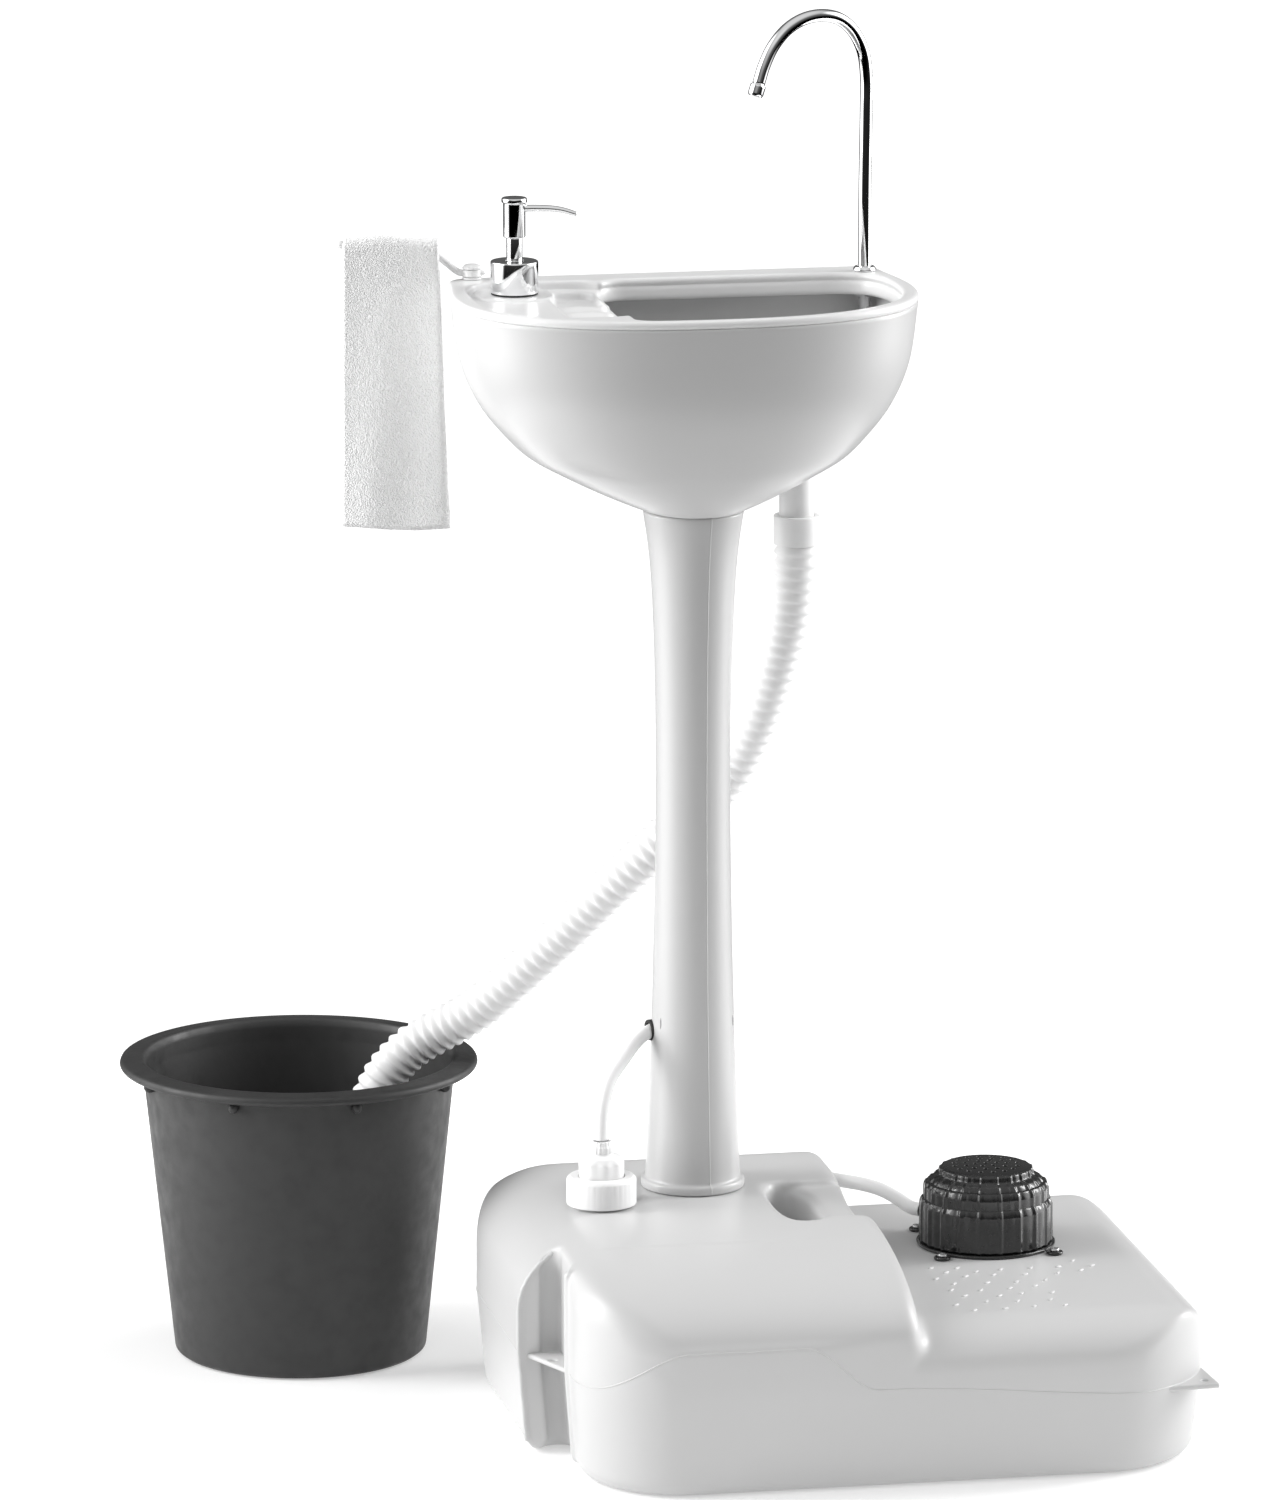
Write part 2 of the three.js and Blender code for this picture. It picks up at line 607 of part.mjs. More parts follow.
const ARM_LEVEL = 1090;
const ARM = [
  [13, RIM + 6], [0, RIM + 6], [-11.5, RIM + 6.4], [-24, RIM + 15.5], [-37, RIM + 25.5], [-48, ARM_LEVEL],
  [-80, ARM_LEVEL + 0.5], [-118, ARM_LEVEL + 2], [-127, ARM_LEVEL + 6],
];
const TOWEL_LEAN = THREE.MathUtils.degToRad(-11.5);

function armPlace(geometry) {
  return geometry.rotateZ(TOWEL_LEAN).translate(TOWEL_PIVOT.x, TOWEL_PIVOT.y, 0);
}

function makeTowelArm() {
  const arm = bar(ARM.map(([x, z]) => [x, 0, z]), 3.2, 22, 8);
  const eye = rod(8.5, RIM + 2.6, RIM + 9.4, 16);
  return armPlace(cut(join(arm, eye), rod(2.6, RIM, RIM + 20, 12)));
}

// The pivot: a stem down through the rim with a flat head above the arm's eye.
function makeTowelKnob() {
  const head = [[9, RIM + 9.7], [9, RIM + 12.5], [6, RIM + 14.5], [0, RIM + 14.8]];
  return turned([[0, 1038], [2.1, 1038], [2.1, RIM + 9.7], ...head], 16);
}

function makeTowel() {
  const thickness = 14;
  const low = ARM_LEVEL - 263;
  const outline = [
    [-126, low + 14], [-72, low], [-18, low + 4], [-20, ARM_LEVEL - 140], [-33, ARM_LEVEL - 30],
    [-34, ARM_LEVEL + 7], [-118, ARM_LEVEL + 7], [-120, ARM_LEVEL - 60],
  ];
  const slab = prism(outline, -thickness / 2, thickness / 2).rotateX(Math.PI / 2);
  const tunnel = bar(ARM.map(([x, z]) => [x, 0, z]), 4.4, 22, 8);
  return armPlace(cut(slab, tunnel));
}

// ---------------------------------------------------------------- bucket

function makeBucket() {
  const wall = 2.5;
  const { baseRadius: base, bodyRadius: body, rimRadius: rim, height } = BUCKET;
  const outer = [[0, 0], [base - 4, 0], [base, 4], [body, height - 22], [body, height - 12]];
  const lip = [
    [rim - 3, height - 11], [rim, height - 8], [rim, height - 3], [rim - 4, height], [body + 2, height],
  ];
  const inner = [
    [body - wall, height - 4], [body - wall, height - 22], [base - wall, 7], [base - 6, 4], [0, 4],
  ];
  return turned([...outer, ...lip, ...inner], 28).translate(BUCKET.x, BUCKET.y, 0);
}

// ---------------------------------------------------------------- assembly

const WHITE = { color: 0xe4e5e6, roughness: 0.45, metalness: 0 };
const CLEAN_WHITE = { color: 0xf2f2f2, roughness: 0.5, metalness: 0 };
const HOSE_WHITE = { color: 0xf4f4f2, roughness: 0.55, metalness: 0 };
const BLACK = { color: 0x17181a, roughness: 0.3, metalness: 0 };
const CHROME = { color: 0xd4d6d8, roughness: 0.1, metalness: 1 };
const STEEL = { color: 0xa8abae, roughness: 0.3, metalness: 1 };
const RUBBER = { color: 0x222222, roughness: 0.8, metalness: 0 };
const DARK_GREY = { color: 0x3a3c3f, roughness: 0.65, metalness: 0 };
const TERRY = { color: 0xf6f6f4, roughness: 0.95, metalness: 0 };
const CLEAR = { color: 0xe8eef0, roughness: 0.2, metalness: 0 };

const sink = new THREE.Group();

function part(name, geometry, look) {
  const mesh = new THREE.Mesh(geometry, new THREE.MeshStandardMaterial(look));
  mesh.name = name;
  sink.add(mesh);
}

const atCap = (geometry) => geometry.translate(CAP.x, CAP.y, 0);
const atTap = (geometry) => geometry.translate(TAP.x, TAP.y, 0);
const atArm = (geometry) => geometry.translate(TOWEL_PIVOT.x, TOWEL_PIVOT.y, 0);
const alongRoute = (points, diameter, steps, sides) => bar(points, diameter / 2, steps, sides);

part('tank_shell', makeTank(), WHITE);
part('filler_cap_ring', atCap(makeCapRing()), CLEAN_WHITE);
part('cap_seal', atCap(sleeve(18.5, 25, 225.3, 227.1)), RUBBER);
part('hose_adapter', atCap(makeAdapter()), CLEAN_WHITE);
part('adapter_nut', atCap(sleeve(3.5, 11.5, 260.3, 272.2, 18)), CLEAN_WHITE);
part('dip_tube', atCap(sleeve(3.5, 5.5, 12, 205.7, 10)), CLEAR);
part('water_hose', alongRoute(WATER_ROUTE, WATER_HOSE_DIAMETER, 38, 8), HOSE_WHITE);

part('pump_flange', makePumpFlange(), BLACK);
part('pump_valve', pumpPart(rod(16, 3.3, 6.3, 20)), RUBBER);
part('pump_spring', makePumpSpring(), STEEL);
part('pump_skirt_lower', makePumpSkirtLower(), BLACK);
part('pump_skirt_middle', makePumpSkirtMiddle(), BLACK);
part('pump_tread_cap', makePumpTreadCap(), BLACK);
part('pump_outlet_barb', makePumpBarb(), BLACK);
for (let i = 0; i < 4; i++) part(`pump_screw_${i + 1}`, makePumpScrew(i), STEEL);
part('air_hose', alongRoute(AIR_ROUTE, AIR_HOSE_DIAMETER, 14, 10), HOSE_WHITE);

part('air_nipple', intoStep(sleeve(3.5, 5.7, 0.4, 22, 12)), CLEAN_WHITE);

part('column', makeColumn(), WHITE);
part('basin_shell', makeBasinShell(), WHITE);
part('basin_top', makeBasinTop(), WHITE);

part('drain_strainer', makeStrainer(), CHROME);
part('drain_gasket', drainPart(sleeve(16, 24, -5.6, -3.3)), RUBBER);
part('drain_nut', drainPart(hexNut(16, 26, -14, -5.9)), CLEAN_WHITE);
part('drain_tailpiece', drainPart(sleeve(14, 16.5, -112, -34.4, 20)), HOSE_WHITE);
part('hose_cuff_top', drainPart(sleeve(16.9, 22, -125, -97, 20)).translate(0.4, 0, 0), HOSE_WHITE);
part('drain_hose', alongRoute(DRAIN_ROUTE, DRAIN_HOSE_DIAMETER, 32, 10), HOSE_WHITE);
part('hose_cuff_end', makeCuffEnd(), HOSE_WHITE);

part('faucet_spout', makeSpout(), CHROME);
part('faucet_nozzle', makeNozzle(), CHROME);
part('faucet_ferrule', atTap(sleeve(6.6, 11, RIM + 0.3, RIM + 5, 20)), CHROME);
part('faucet_washer', atTap(sleeve(6.3, 12, 1045.7, 1049, 16)), RUBBER);
part('faucet_nut', atTap(hexNut(6.3, 11.5, 1038, 1045.4)), STEEL);
part('faucet_tail', atTap(sleeve(3, 5.6, 1009, 1061.5, 14)), STEEL);

part('soap_collar', makeSoapCollar(), CHROME);
part('soap_shaft', makeSoapShaft(), CHROME);
part('soap_head', makeSoapHead(), CHROME);
part('soap_spring', makeSoapSpring(), STEEL);
part('soap_gasket', soapPart(sleeve(16.3, 22, 0.3, 1.5, 24)), RUBBER);
part('soap_lock_nut', soapPart(sleeve(15.7, 23, -13, -5.9, 20)), CLEAN_WHITE);
part('soap_bottle', makeSoapBottle(), CLEAR);
part('soap_dip_tube', soapPart(sleeve(1.8, 3, -94, -34, 8)), CLEAR);

part('towel_arm', makeTowelArm(), CLEAN_WHITE);
part('towel_arm_spacer', atArm(sleeve(2.6, 9, RIM + 0.3, RIM + 2.3, 16)), CLEAN_WHITE);
part('towel_arm_knob', atArm(makeTowelKnob()), CLEAN_WHITE);
part('towel_arm_nut', atArm(hexNut(2.5, 5.5, 1041, 1046)), STEEL);
part('towel', makeTowel(), TERRY);

part('bucket', makeBucket(), DARK_GREY);

export default sink;
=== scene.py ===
"""Looks for the portable handwash sink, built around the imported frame. Shapes are in millimetres and the
scene is in metres, in the frame of the CAD model: +Z up, the front towards -Y."""
import math

import bpy
import numpy as np
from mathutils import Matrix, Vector


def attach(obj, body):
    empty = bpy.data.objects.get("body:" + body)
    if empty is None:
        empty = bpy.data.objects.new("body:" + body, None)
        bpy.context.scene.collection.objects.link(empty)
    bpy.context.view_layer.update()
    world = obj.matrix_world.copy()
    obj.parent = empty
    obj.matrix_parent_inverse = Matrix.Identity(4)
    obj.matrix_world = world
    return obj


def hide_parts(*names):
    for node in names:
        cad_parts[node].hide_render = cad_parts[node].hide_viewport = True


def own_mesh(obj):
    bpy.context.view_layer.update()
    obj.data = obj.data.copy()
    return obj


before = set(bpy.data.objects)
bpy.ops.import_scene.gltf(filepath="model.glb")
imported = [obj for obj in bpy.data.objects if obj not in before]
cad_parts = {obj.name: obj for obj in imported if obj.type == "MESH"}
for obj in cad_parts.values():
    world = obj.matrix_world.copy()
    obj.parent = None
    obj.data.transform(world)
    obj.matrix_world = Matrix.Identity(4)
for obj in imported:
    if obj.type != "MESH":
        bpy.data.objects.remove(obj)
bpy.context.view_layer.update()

MM = 0.001
ROOT = "root"


# ---------------------------------------------------------------- camera, light and floor

AZIMUTH, ELEVATION, DISTANCE = math.radians(-10.978), math.radians(12.096), 9.262
TARGET = Vector((-0.04987, 0.0, 0.63234))


def direction(azimuth, elevation):
    """Unit vector from the object towards a viewer there. Azimuth 0 is the front."""
    flat = math.cos(elevation)
    return Vector((math.sin(azimuth) * flat, -math.cos(azimuth) * flat, math.sin(elevation)))


def aim(obj, target):
    obj.rotation_euler = (target - obj.location).to_track_quat("-Z", "Y").to_euler()


def add_camera():
    data = bpy.data.cameras.new("camera")
    data.lens = 236.87
    data.sensor_width = 36
    data.clip_end = 100
    camera = bpy.data.objects.new("camera", data)
    bpy.context.scene.collection.objects.link(camera)
    camera.location = TARGET + DISTANCE * direction(AZIMUTH, ELEVATION)
    aim(camera, TARGET)
    bpy.context.scene.camera = camera


def add_softbox(name, azimuth, elevation, distance, size, power):
    data = bpy.data.lights.new(name, "AREA")
    data.shape = "RECTANGLE"
    data.size, data.size_y = size
    data.energy = power
    light = bpy.data.objects.new(name, data)
    bpy.context.scene.collection.objects.link(light)
    light.location = TARGET + distance * direction(math.radians(azimuth), math.radians(elevation))
    aim(light, TARGET)


def add_world():
    """White behind the object. As light it is a dark studio with a soft panel at each side, one overhead, a
    faint one in front and a little light from the upper half."""
    world = bpy.data.worlds.new("studio")
    world.use_nodes = True
    bpy.context.scene.world = world
    nodes, links = world.node_tree.nodes, world.node_tree.links
    nodes.clear()
    place = nodes.new("ShaderNodeTexCoord")
    total = None
    panels = (
        (direction(math.radians(-100), math.radians(14)), 0.70, 0.93, 2.6),
        (direction(math.radians(92), math.radians(14)), 0.76, 0.95, 2.8),
        (Vector((0, -0.3, 0.954)), 0.45, 0.96, 0.6),
        (direction(math.radians(-14), math.radians(26)), 0.86, 0.99, 0.2),
        (Vector((0, 0, 1)), -0.25, 0.25, 0.12),
    )
    for towards, start, end, strength in panels:
        facing = nodes.new("ShaderNodeVectorMath")
        facing.operation = "DOT_PRODUCT"
        facing.inputs[1].default_value = towards
        links.new(place.outputs["Generated"], facing.inputs[0])
        panel = nodes.new("ShaderNodeMapRange")
        panel.interpolation_type = "SMOOTHSTEP"
        for socket, value in (("From Min", start), ("From Max", end), ("To Min", 0), ("To Max", strength)):
            panel.inputs[socket].default_value = value
        links.new(facing.outputs["Value"], panel.inputs["Value"])
        if total:
            both = nodes.new("ShaderNodeMath")
            links.new(total, both.inputs[0])
            links.new(panel.outputs["Result"], both.inputs[1])
            total = both.outputs[0]
        else:
            total = panel.outputs["Result"]
    studio = nodes.new("ShaderNodeBackground")
    studio.inputs["Color"].default_value = (1, 1, 1, 1)
    links.new(total, studio.inputs["Strength"])
    backdrop = nodes.new("ShaderNodeBackground")
    backdrop.inputs["Color"].default_value = (1, 1, 1, 1)
    backdrop.inputs["Strength"].default_value = 1.2
    seen = nodes.new("ShaderNodeLightPath")
    mix = nodes.new("ShaderNodeMixShader")
    links.new(seen.outputs["Is Camera Ray"], mix.inputs["Fac"])
    links.new(studio.outputs[0], mix.inputs[1])
    links.new(backdrop.outputs[0], mix.inputs[2])
    output = nodes.new("ShaderNodeOutputWorld")
    links.new(mix.outputs[0], output.inputs["Surface"])


def add_floor():
    """A round white sheet that brightens outwards, so its edge can't be told from the backdrop."""
    reach, sides = 1.5, 96
    rim = [(reach * math.cos(2 * math.pi * i / sides), reach * math.sin(2 * math.pi * i / sides), 0)
           for i in range(sides)]
    mesh = bpy.data.meshes.new("floor")
    mesh.from_pydata(rim, [], [tuple(range(sides))])
    floor = bpy.data.objects.new("floor", mesh)
    bpy.context.scene.collection.objects.link(floor)
    floor.location.z = -0.0005
    surface = bpy.data.materials.new("floor")
    surface.use_nodes = True
    tree = surface.node_tree
    shader = tree.nodes["Principled BSDF"]
    shader.inputs["Base Color"].default_value = (0.7, 0.7, 0.7, 1)
    shader.inputs["Roughness"].default_value = 0.9
    shader.inputs["Specular IOR Level"].default_value = 0.1
    shader.inputs["Emission Color"].default_value = (1, 1, 1, 1)
    place = tree.nodes.new("ShaderNodeTexCoord")
    away = tree.nodes.new("ShaderNodeVectorMath")
    away.operation = "LENGTH"
    glow = tree.nodes.new("ShaderNodeMapRange")
    glow.interpolation_type = "SMOOTHSTEP"
    for socket, value in (("From Min", 0.75), ("From Max", 1.42), ("To Min", 0.34), ("To Max", 1.1)):
        glow.inputs[socket].default_value = value
    tree.links.new(place.outputs["Object"], away.inputs[0])
    tree.links.new(away.outputs["Value"], glow.inputs["Value"])
    tree.links.new(glow.outputs["Result"], shader.inputs["Emission Strength"])
    mesh.materials.append(surface)


add_camera()
add_world()
add_floor()
add_softbox("left_softbox", -96, 20, 2.3, (0.8, 1.9), 34)
add_softbox("right_softbox", 96, 20, 2.6, (0.6, 2.0), 40)
bpy.context.scene.view_settings.view_transform = "Standard"


# ---------------------------------------------------------------- materials

class Surface:
    """A node material with helpers for the procedural parts."""

    def __init__(self, name, colour, roughness, metallic=0.0):
        self.material = bpy.data.materials.new(name)
        self.material.use_nodes = True
        self.tree = self.material.node_tree
        self.shader = self.tree.nodes["Principled BSDF"]
        self.set("Base Color", (*colour, 1))
        self.set("Roughness", roughness)
        self.set("Metallic", metallic)
        self.place = self.add("ShaderNodeTexCoord").outputs["Object"]

    def add(self, kind):
        return self.tree.nodes.new(kind)

    def set(self, socket, value):
        self.shader.inputs[socket].default_value = value

    def link(self, source, target):
        self.tree.links.new(source, target)

    def noise(self, scale, detail=2.0, stretch=None):
        """A noise pattern with that many features a metre."""
        node = self.add("ShaderNodeTexNoise")
        node.inputs["Scale"].default_value = scale
        node.inputs["Detail"].default_value = detail
        source = self.place
        if stretch:
            mapping = self.add("ShaderNodeMapping")
            mapping.inputs["Scale"].default_value = stretch
            self.link(self.place, mapping.inputs["Vector"])
            source = mapping.outputs["Vector"]
        self.link(source, node.inputs["Vector"])
        return node.outputs["Fac"]

    def spread(self, source, low, high, start=0.3, end=0.7):
        node = self.add("ShaderNodeMapRange")
        for socket, value in (("From Min", start), ("From Max", end), ("To Min", low), ("To Max", high)):
            node.inputs[socket].default_value = value
        self.link(source, node.inputs["Value"])
        return node.outputs["Result"]

    def vary_colour(self, source, dark, light):
        node = self.add("ShaderNodeMix")
        node.data_type = "RGBA"
        node.inputs["A"].default_value = (*dark, 1)
        node.inputs["B"].default_value = (*light, 1)
        self.link(source, node.inputs["Factor"])
        self.link(node.outputs["Result"], self.shader.inputs["Base Color"])

    def vary_roughness(self, source, low, high):
        self.link(self.spread(source, low, high), self.shader.inputs["Roughness"])

    def bump(self, *layers):
        """Height layers, each a pattern and its depth in millimetres."""
        normal = None
        for source, depth in layers:
            node = self.add("ShaderNodeBump")
            node.inputs["Strength"].default_value = 1.0
            node.inputs["Distance"].default_value = depth * MM
            self.link(source, node.inputs["Height"])
            if normal:
                self.link(normal, node.inputs["Normal"])
            normal = node.outputs["Normal"]
        self.link(normal, self.shader.inputs["Normal"])


def grey(value):
    return (value, value, value)


def moulded(name, value, roughness, grain=0.006, wave=0.0, shift=0.02):
    """Moulded plastic: slight cloudiness, and a fine grain or broad waves where it has them."""
    look = Surface(name, grey(value), roughness)
    look.vary_colour(look.noise(9, 3), grey(value * (1 - shift)), grey(min(1, value * (1 + shift))))
    layers = [(look.noise(scale, 1), depth) for scale, depth in ((240, grain), (14, wave)) if depth]
    if layers:
        look.bump(*layers)
    return look.material


def translucent(name, value, roughness):
    """Milky plastic that light soaks into."""
    look = Surface(name, grey(value), roughness)
    look.set("Subsurface Weight", 0.35)
    look.set("Subsurface Radius", (0.006, 0.006, 0.006))
    look.set("Subsurface Scale", 1.0)
    look.vary_colour(look.noise(60, 2), grey(value * 0.97), grey(min(1, value * 1.02)))
    look.vary_roughness(look.noise(90, 3), roughness - 0.05, roughness + 0.08)
    look.bump((look.noise(900, 2), 0.02))
    return look.material


def polished(name, value, roughness, scratch=0.004):
    look = Surface(name, (value, value * 1.004, value * 1.01), roughness, metallic=1.0)
    look.vary_roughness(look.noise(120, 3), roughness * 0.6, roughness * 1.5)
    look.bump((look.noise(700, 2, stretch=(1, 1, 0.06)), scratch))
    return look.material


def glossy_black():
    look = Surface("pump_plastic", grey(0.012), 0.2)
    look.vary_colour(look.noise(70, 3), grey(0.008), grey(0.016))
    look.vary_roughness(look.noise(200, 3), 0.14, 0.3)
    look.set("Coat Weight", 0.35)
    look.set("Coat Roughness", 0.08)
    look.bump((look.noise(900, 3), 0.012))
    return look.material


def bucket_plastic():
    look = Surface("bucket_plastic", grey(0.045), 0.52)
    look.vary_colour(look.noise(18, 4, stretch=(1, 1, 0.35)), grey(0.02), grey(0.03))
    look.vary_roughness(look.noise(60, 4), 0.44, 0.62)
    look.bump((look.noise(1300, 3), 0.035), (look.noise(22, 2, stretch=(1, 1, 0.2)), 0.06))
    return look.material


def rubber():
    look = Surface("seal_rubber", grey(0.02), 0.75)
    look.vary_roughness(look.noise(300, 3), 0.65, 0.85)
    look.bump((look.noise(1100, 3), 0.03))
    return look.material


def clear_plastic():
    look = Surface("clear_plastic", (0.86, 0.9, 0.91), 0.25)
    look.set("Transmission Weight", 0.75)
    look.set("IOR", 1.46)
    look.vary_roughness(look.noise(80, 3), 0.18, 0.34)
    look.bump((look.noise(500, 2), 0.01))
    return look.material


def terry():
    """Towelling: loops a little over a millimetre apart, in soft rows."""
    look = Surface("terry", grey(0.9), 0.95)
    loops = look.add("ShaderNodeTexVoronoi")
    loops.inputs["Scale"].default_value = 620
    look.link(look.place, loops.inputs["Vector"])
    look.vary_colour(look.noise(420, 3), grey(0.9), grey(0.99))
    look.vary_roughness(look.noise(200, 2), 0.85, 1.0)
    look.set("Sheen Weight", 0.35)
    look.set("Sheen Roughness", 0.6)
    look.set("Subsurface Weight", 0.15)
    look.set("Subsurface Radius", (0.003, 0.003, 0.003))
    look.bump((loops.outputs["Distance"], 0.9), (look.noise(260, 3), 0.5))
    return look.material


TANK_PLASTIC = moulded("tank_plastic", 0.585, 0.36, wave=0.5)
COLUMN_PLASTIC = moulded("column_plastic", 0.56, 0.3, grain=0, wave=0.12)
BASIN_PLASTIC = moulded("basin_plastic", 0.64, 0.28, grain=0)
# The basin top is the shell's plastic painted lighter: painted light on the rim, the deck and in the bowl,
# where more light falls.
BASIN_TOP_LIGHTENED_PLASTIC = moulded("basin_top_plastic_painted_lighter", 0.86, 0.28, grain=0)
WHITE_PLASTIC = moulded("white_plastic", 0.82, 0.4)
MILKY_PLASTIC = translucent("milky_plastic", 0.9, 0.4)
HOSE_PLASTIC = translucent("hose_plastic", 0.88, 0.42)
CHROME = polished("chrome", 0.9, 0.05)
STEEL = polished("steel", 0.62, 0.28, scratch=0.02)
PUMP_BLACK = glossy_black()
BUCKET_GREY = bucket_plastic()
RUBBER = rubber()
CLEAR = clear_plastic()
TERRY = terry()


# ---------------------------------------------------------------- mesh helpers, in millimetres

def add_mesh(name, points, faces, smooth=True):
    points = np.asarray(points, float) * MM
    mesh = bpy.data.meshes.new(name)
    mesh.from_pydata(points.tolist(), [], faces)
    mesh.polygons.foreach_set("use_smooth", [smooth] * len(mesh.polygons))
    obj = bpy.data.objects.new(name, mesh)
    bpy.context.scene.collection.objects.link(obj)
    return obj


def piece(obj, body, look, slot, *nodes):
    """Dresses a finished piece, lets it ride on its body and stands it in for its CAD nodes."""
    obj.data.materials.clear()
    obj.data.materials.append(look)
    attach(obj, body)
    if nodes:
        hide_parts(*nodes)
    return obj


def lerp(a, b, t):
    return a + (b - a) * t


def rise(x, start, end):
    t = np.clip((x - start) / (end - start), 0, 1)
    return t * t * (3 - 2 * t)


def respace(points, spacing):
    """The same line with points an even distance apart."""
    points = np.asarray(points, float)
    steps = np.linalg.norm(np.diff(points, axis=0), axis=1)
    along = np.concatenate([[0], np.cumsum(steps)])
    count = max(2, round(along[-1] / spacing) + 1)
    wanted = np.linspace(0, along[-1], count)
    return np.stack([np.interp(wanted, along, column) for column in points.T], axis=1)


def smooth_route(points, spacing):
    """A centripetal Catmull-Rom curve through the points, evenly spaced."""
    p = np.asarray(points, float)
    p = np.vstack([2 * p[0] - p[1], p, 2 * p[-1] - p[-2]])
    fine = []
    t = np.linspace(0, 1, 24, endpoint=False)[:, None]
    for a, b, c, d in zip(p, p[1:], p[2:], p[3:]):
        before, here, after = (np.linalg.norm(end - start) ** 0.5 for start, end in ((a, b), (b, c), (c, d)))
        leave = ((b - a) / before - (c - a) / (before + here) + (c - b) / here) * here
        arrive = ((c - b) / here - (d - b) / (here + after) + (d - c) / after) * here
        fine.append((2 * t ** 3 - 3 * t ** 2 + 1) * b + (t ** 3 - 2 * t ** 2 + t) * leave
                    + (3 * t ** 2 - 2 * t ** 3) * c + (t ** 3 - t ** 2) * arrive)
    return respace(np.vstack([*fine, p[-2:-1]]), spacing)


def soften(profile, reach=1.0, steps=4):
    """Rounds each corner of a line of points, keeping its ends."""
    points = [np.array(p, float) for p in profile]
    out = [points[0]]
    for a, b, c in zip(points, points[1:], points[2:]):
        before, after = np.linalg.norm(b - a), np.linalg.norm(c - b)
        start = b + (a - b) / before * min(reach, before * 0.48)
        end = b + (c - b) / after * min(reach, after * 0.48)
        for t in np.linspace(0, 1, steps + 1):
            out.append((1 - t) ** 2 * start + 2 * t * (1 - t) * b + t * t * end)
    out.append(points[-1])
    return np.array(out)


def grid_faces(rows, columns, wrap_rows=False):
    """Quads between rows of points, each row closed on itself."""
    faces = []
    for k in range(rows if wrap_rows else rows - 1):
        for i in range(columns):
            j = (i + 1) % columns
            up = (k + 1) % rows
            faces.append((k * columns + i, k * columns + j, up * columns + j, up * columns + i))
    return faces


def close_ends(points, faces, rows, columns):
    """Adds a fan over the first and the last row."""
    points = np.asarray(points)
    hubs = np.stack([points[:columns].mean(0), points[(rows - 1) * columns:rows * columns].mean(0)])
    low, high = len(points), len(points) + 1
    last = (rows - 1) * columns
    for i in range(columns):
        j = (i + 1) % columns
        faces.append((low, j, i))
        faces.append((high, last + i, last + j))
    return np.vstack([points, hubs]), faces


def even_angles(count):
    return np.arange(count) * 2 * math.pi / count


def revolve(profile, angles=None, ripple=None, at=(0, 0, 0)):
    """A solid of revolution about Z. The profile's radius and height run up the outside, and close on
    themselves if the last point is the first. ripple(angle, height) adds to the radius."""
    profile = np.asarray(profile, float)
    angles = even_angles(96) if angles is None else angles
    loop = np.allclose(profile[0], profile[-1])
    rows = profile[:-1] if loop else profile
    radius = np.repeat(rows[:, :1], len(angles), axis=1)
    height = np.repeat(rows[:, 1:2], len(angles), axis=1)
    if ripple:
        radius = radius + ripple(angles[None, :], height) * (radius > 0.01)
    points = np.stack([radius * np.cos(angles), radius * np.sin(angles), height], axis=2)
    points = points.reshape(-1, 3) + np.array(at, float)
    faces = grid_faces(len(rows), len(angles), wrap_rows=loop)
    if not loop:
        points, faces = close_ends(points, faces, len(rows), len(angles))
    return points, faces


def turned(name, profile, angles=None, ripple=None, at=(0, 0, 0)):
    return tidy(add_mesh(name, *revolve(profile, angles, ripple, at)))


def lathe(name, node, body, look, slot, profile, reach, count, at=(0, 0, 0), ripple=None, steps=4):
    """A finished piece turned from a profile whose corners are rounded."""
    shape = turned(name, soften(profile, reach, steps), even_angles(count), ripple, at)
    return piece(shape, body, look, slot, node)


def tidy(obj):
    """Merges doubled points, such as a ring of radius nought, and points the faces outwards."""
    import bmesh
    bm = bmesh.new()
    bm.from_mesh(obj.data)
    bmesh.ops.remove_doubles(bm, verts=bm.verts, dist=1e-6)
    bmesh.ops.recalc_face_normals(bm, faces=bm.faces)
    bm.to_mesh(obj.data)
    bm.free()
    return obj


def frames_along(path):
    """Two unit vectors across the path at each point, turning as little as they can."""
    tangents = np.gradient(path, axis=0)
    tangents /= np.linalg.norm(tangents, axis=1)[:, None]
    start = np.cross(tangents[0], [0.31, 0.9, 0.3])
    across = [start / np.linalg.norm(start)]
    for tangent in tangents[1:]:
        side = across[-1] - tangent * np.dot(across[-1], tangent)
        across.append(side / np.linalg.norm(side))
    across = np.array(across)
    return across, np.cross(tangents, across)


def sweep(path, radii, sides=24):
    """A round tube along a path, closed at its ends. radii is a radius or one for each point."""
    path = np.asarray(path, float)
    radii = np.broadcast_to(np.asarray(radii, float), (len(path),))
    across, up = frames_along(path)
    angles = even_angles(sides)
    ring = np.cos(angles)[None, :, None] * across[:, None] + np.sin(angles)[None, :, None] * up[:, None]
    points = path[:, None] + ring * radii[:, None, None]
    faces = grid_faces(len(path), sides)
    return close_ends(points.reshape(-1, 3), faces, len(path), sides)


def tube(name, path, radii, sides=24):
    return tidy(add_mesh(name, *sweep(path, radii, sides)))


def merged(name, parts):
    """One object from several point and face lists."""
    points, faces, shift = [], [], 0
    for part_points, part_faces in parts:
        points.append(np.asarray(part_points))
        faces += [tuple(i + shift for i in face) for face in part_faces]
        shift += len(part_points)
    return tidy(add_mesh(name, np.vstack(points), faces))


def turn_to(points, axis):
    """Points made about +Z, turned so that +Z runs along the axis."""
    turn = np.array(Vector((0, 0, 1)).rotation_difference(Vector(axis)).to_matrix())
    return np.asarray(points) @ turn.T


# ---------------------------------------------------------------- solids from distance fields

def soft_min(a, b, radius):
    h = np.clip(0.5 + 0.5 * (b - a) / radius, 0, 1)
    return lerp(b, a, h) - radius * h * (1 - h)


def soft_max(a, b, radius):
    return -soft_min(-a, -b, radius)


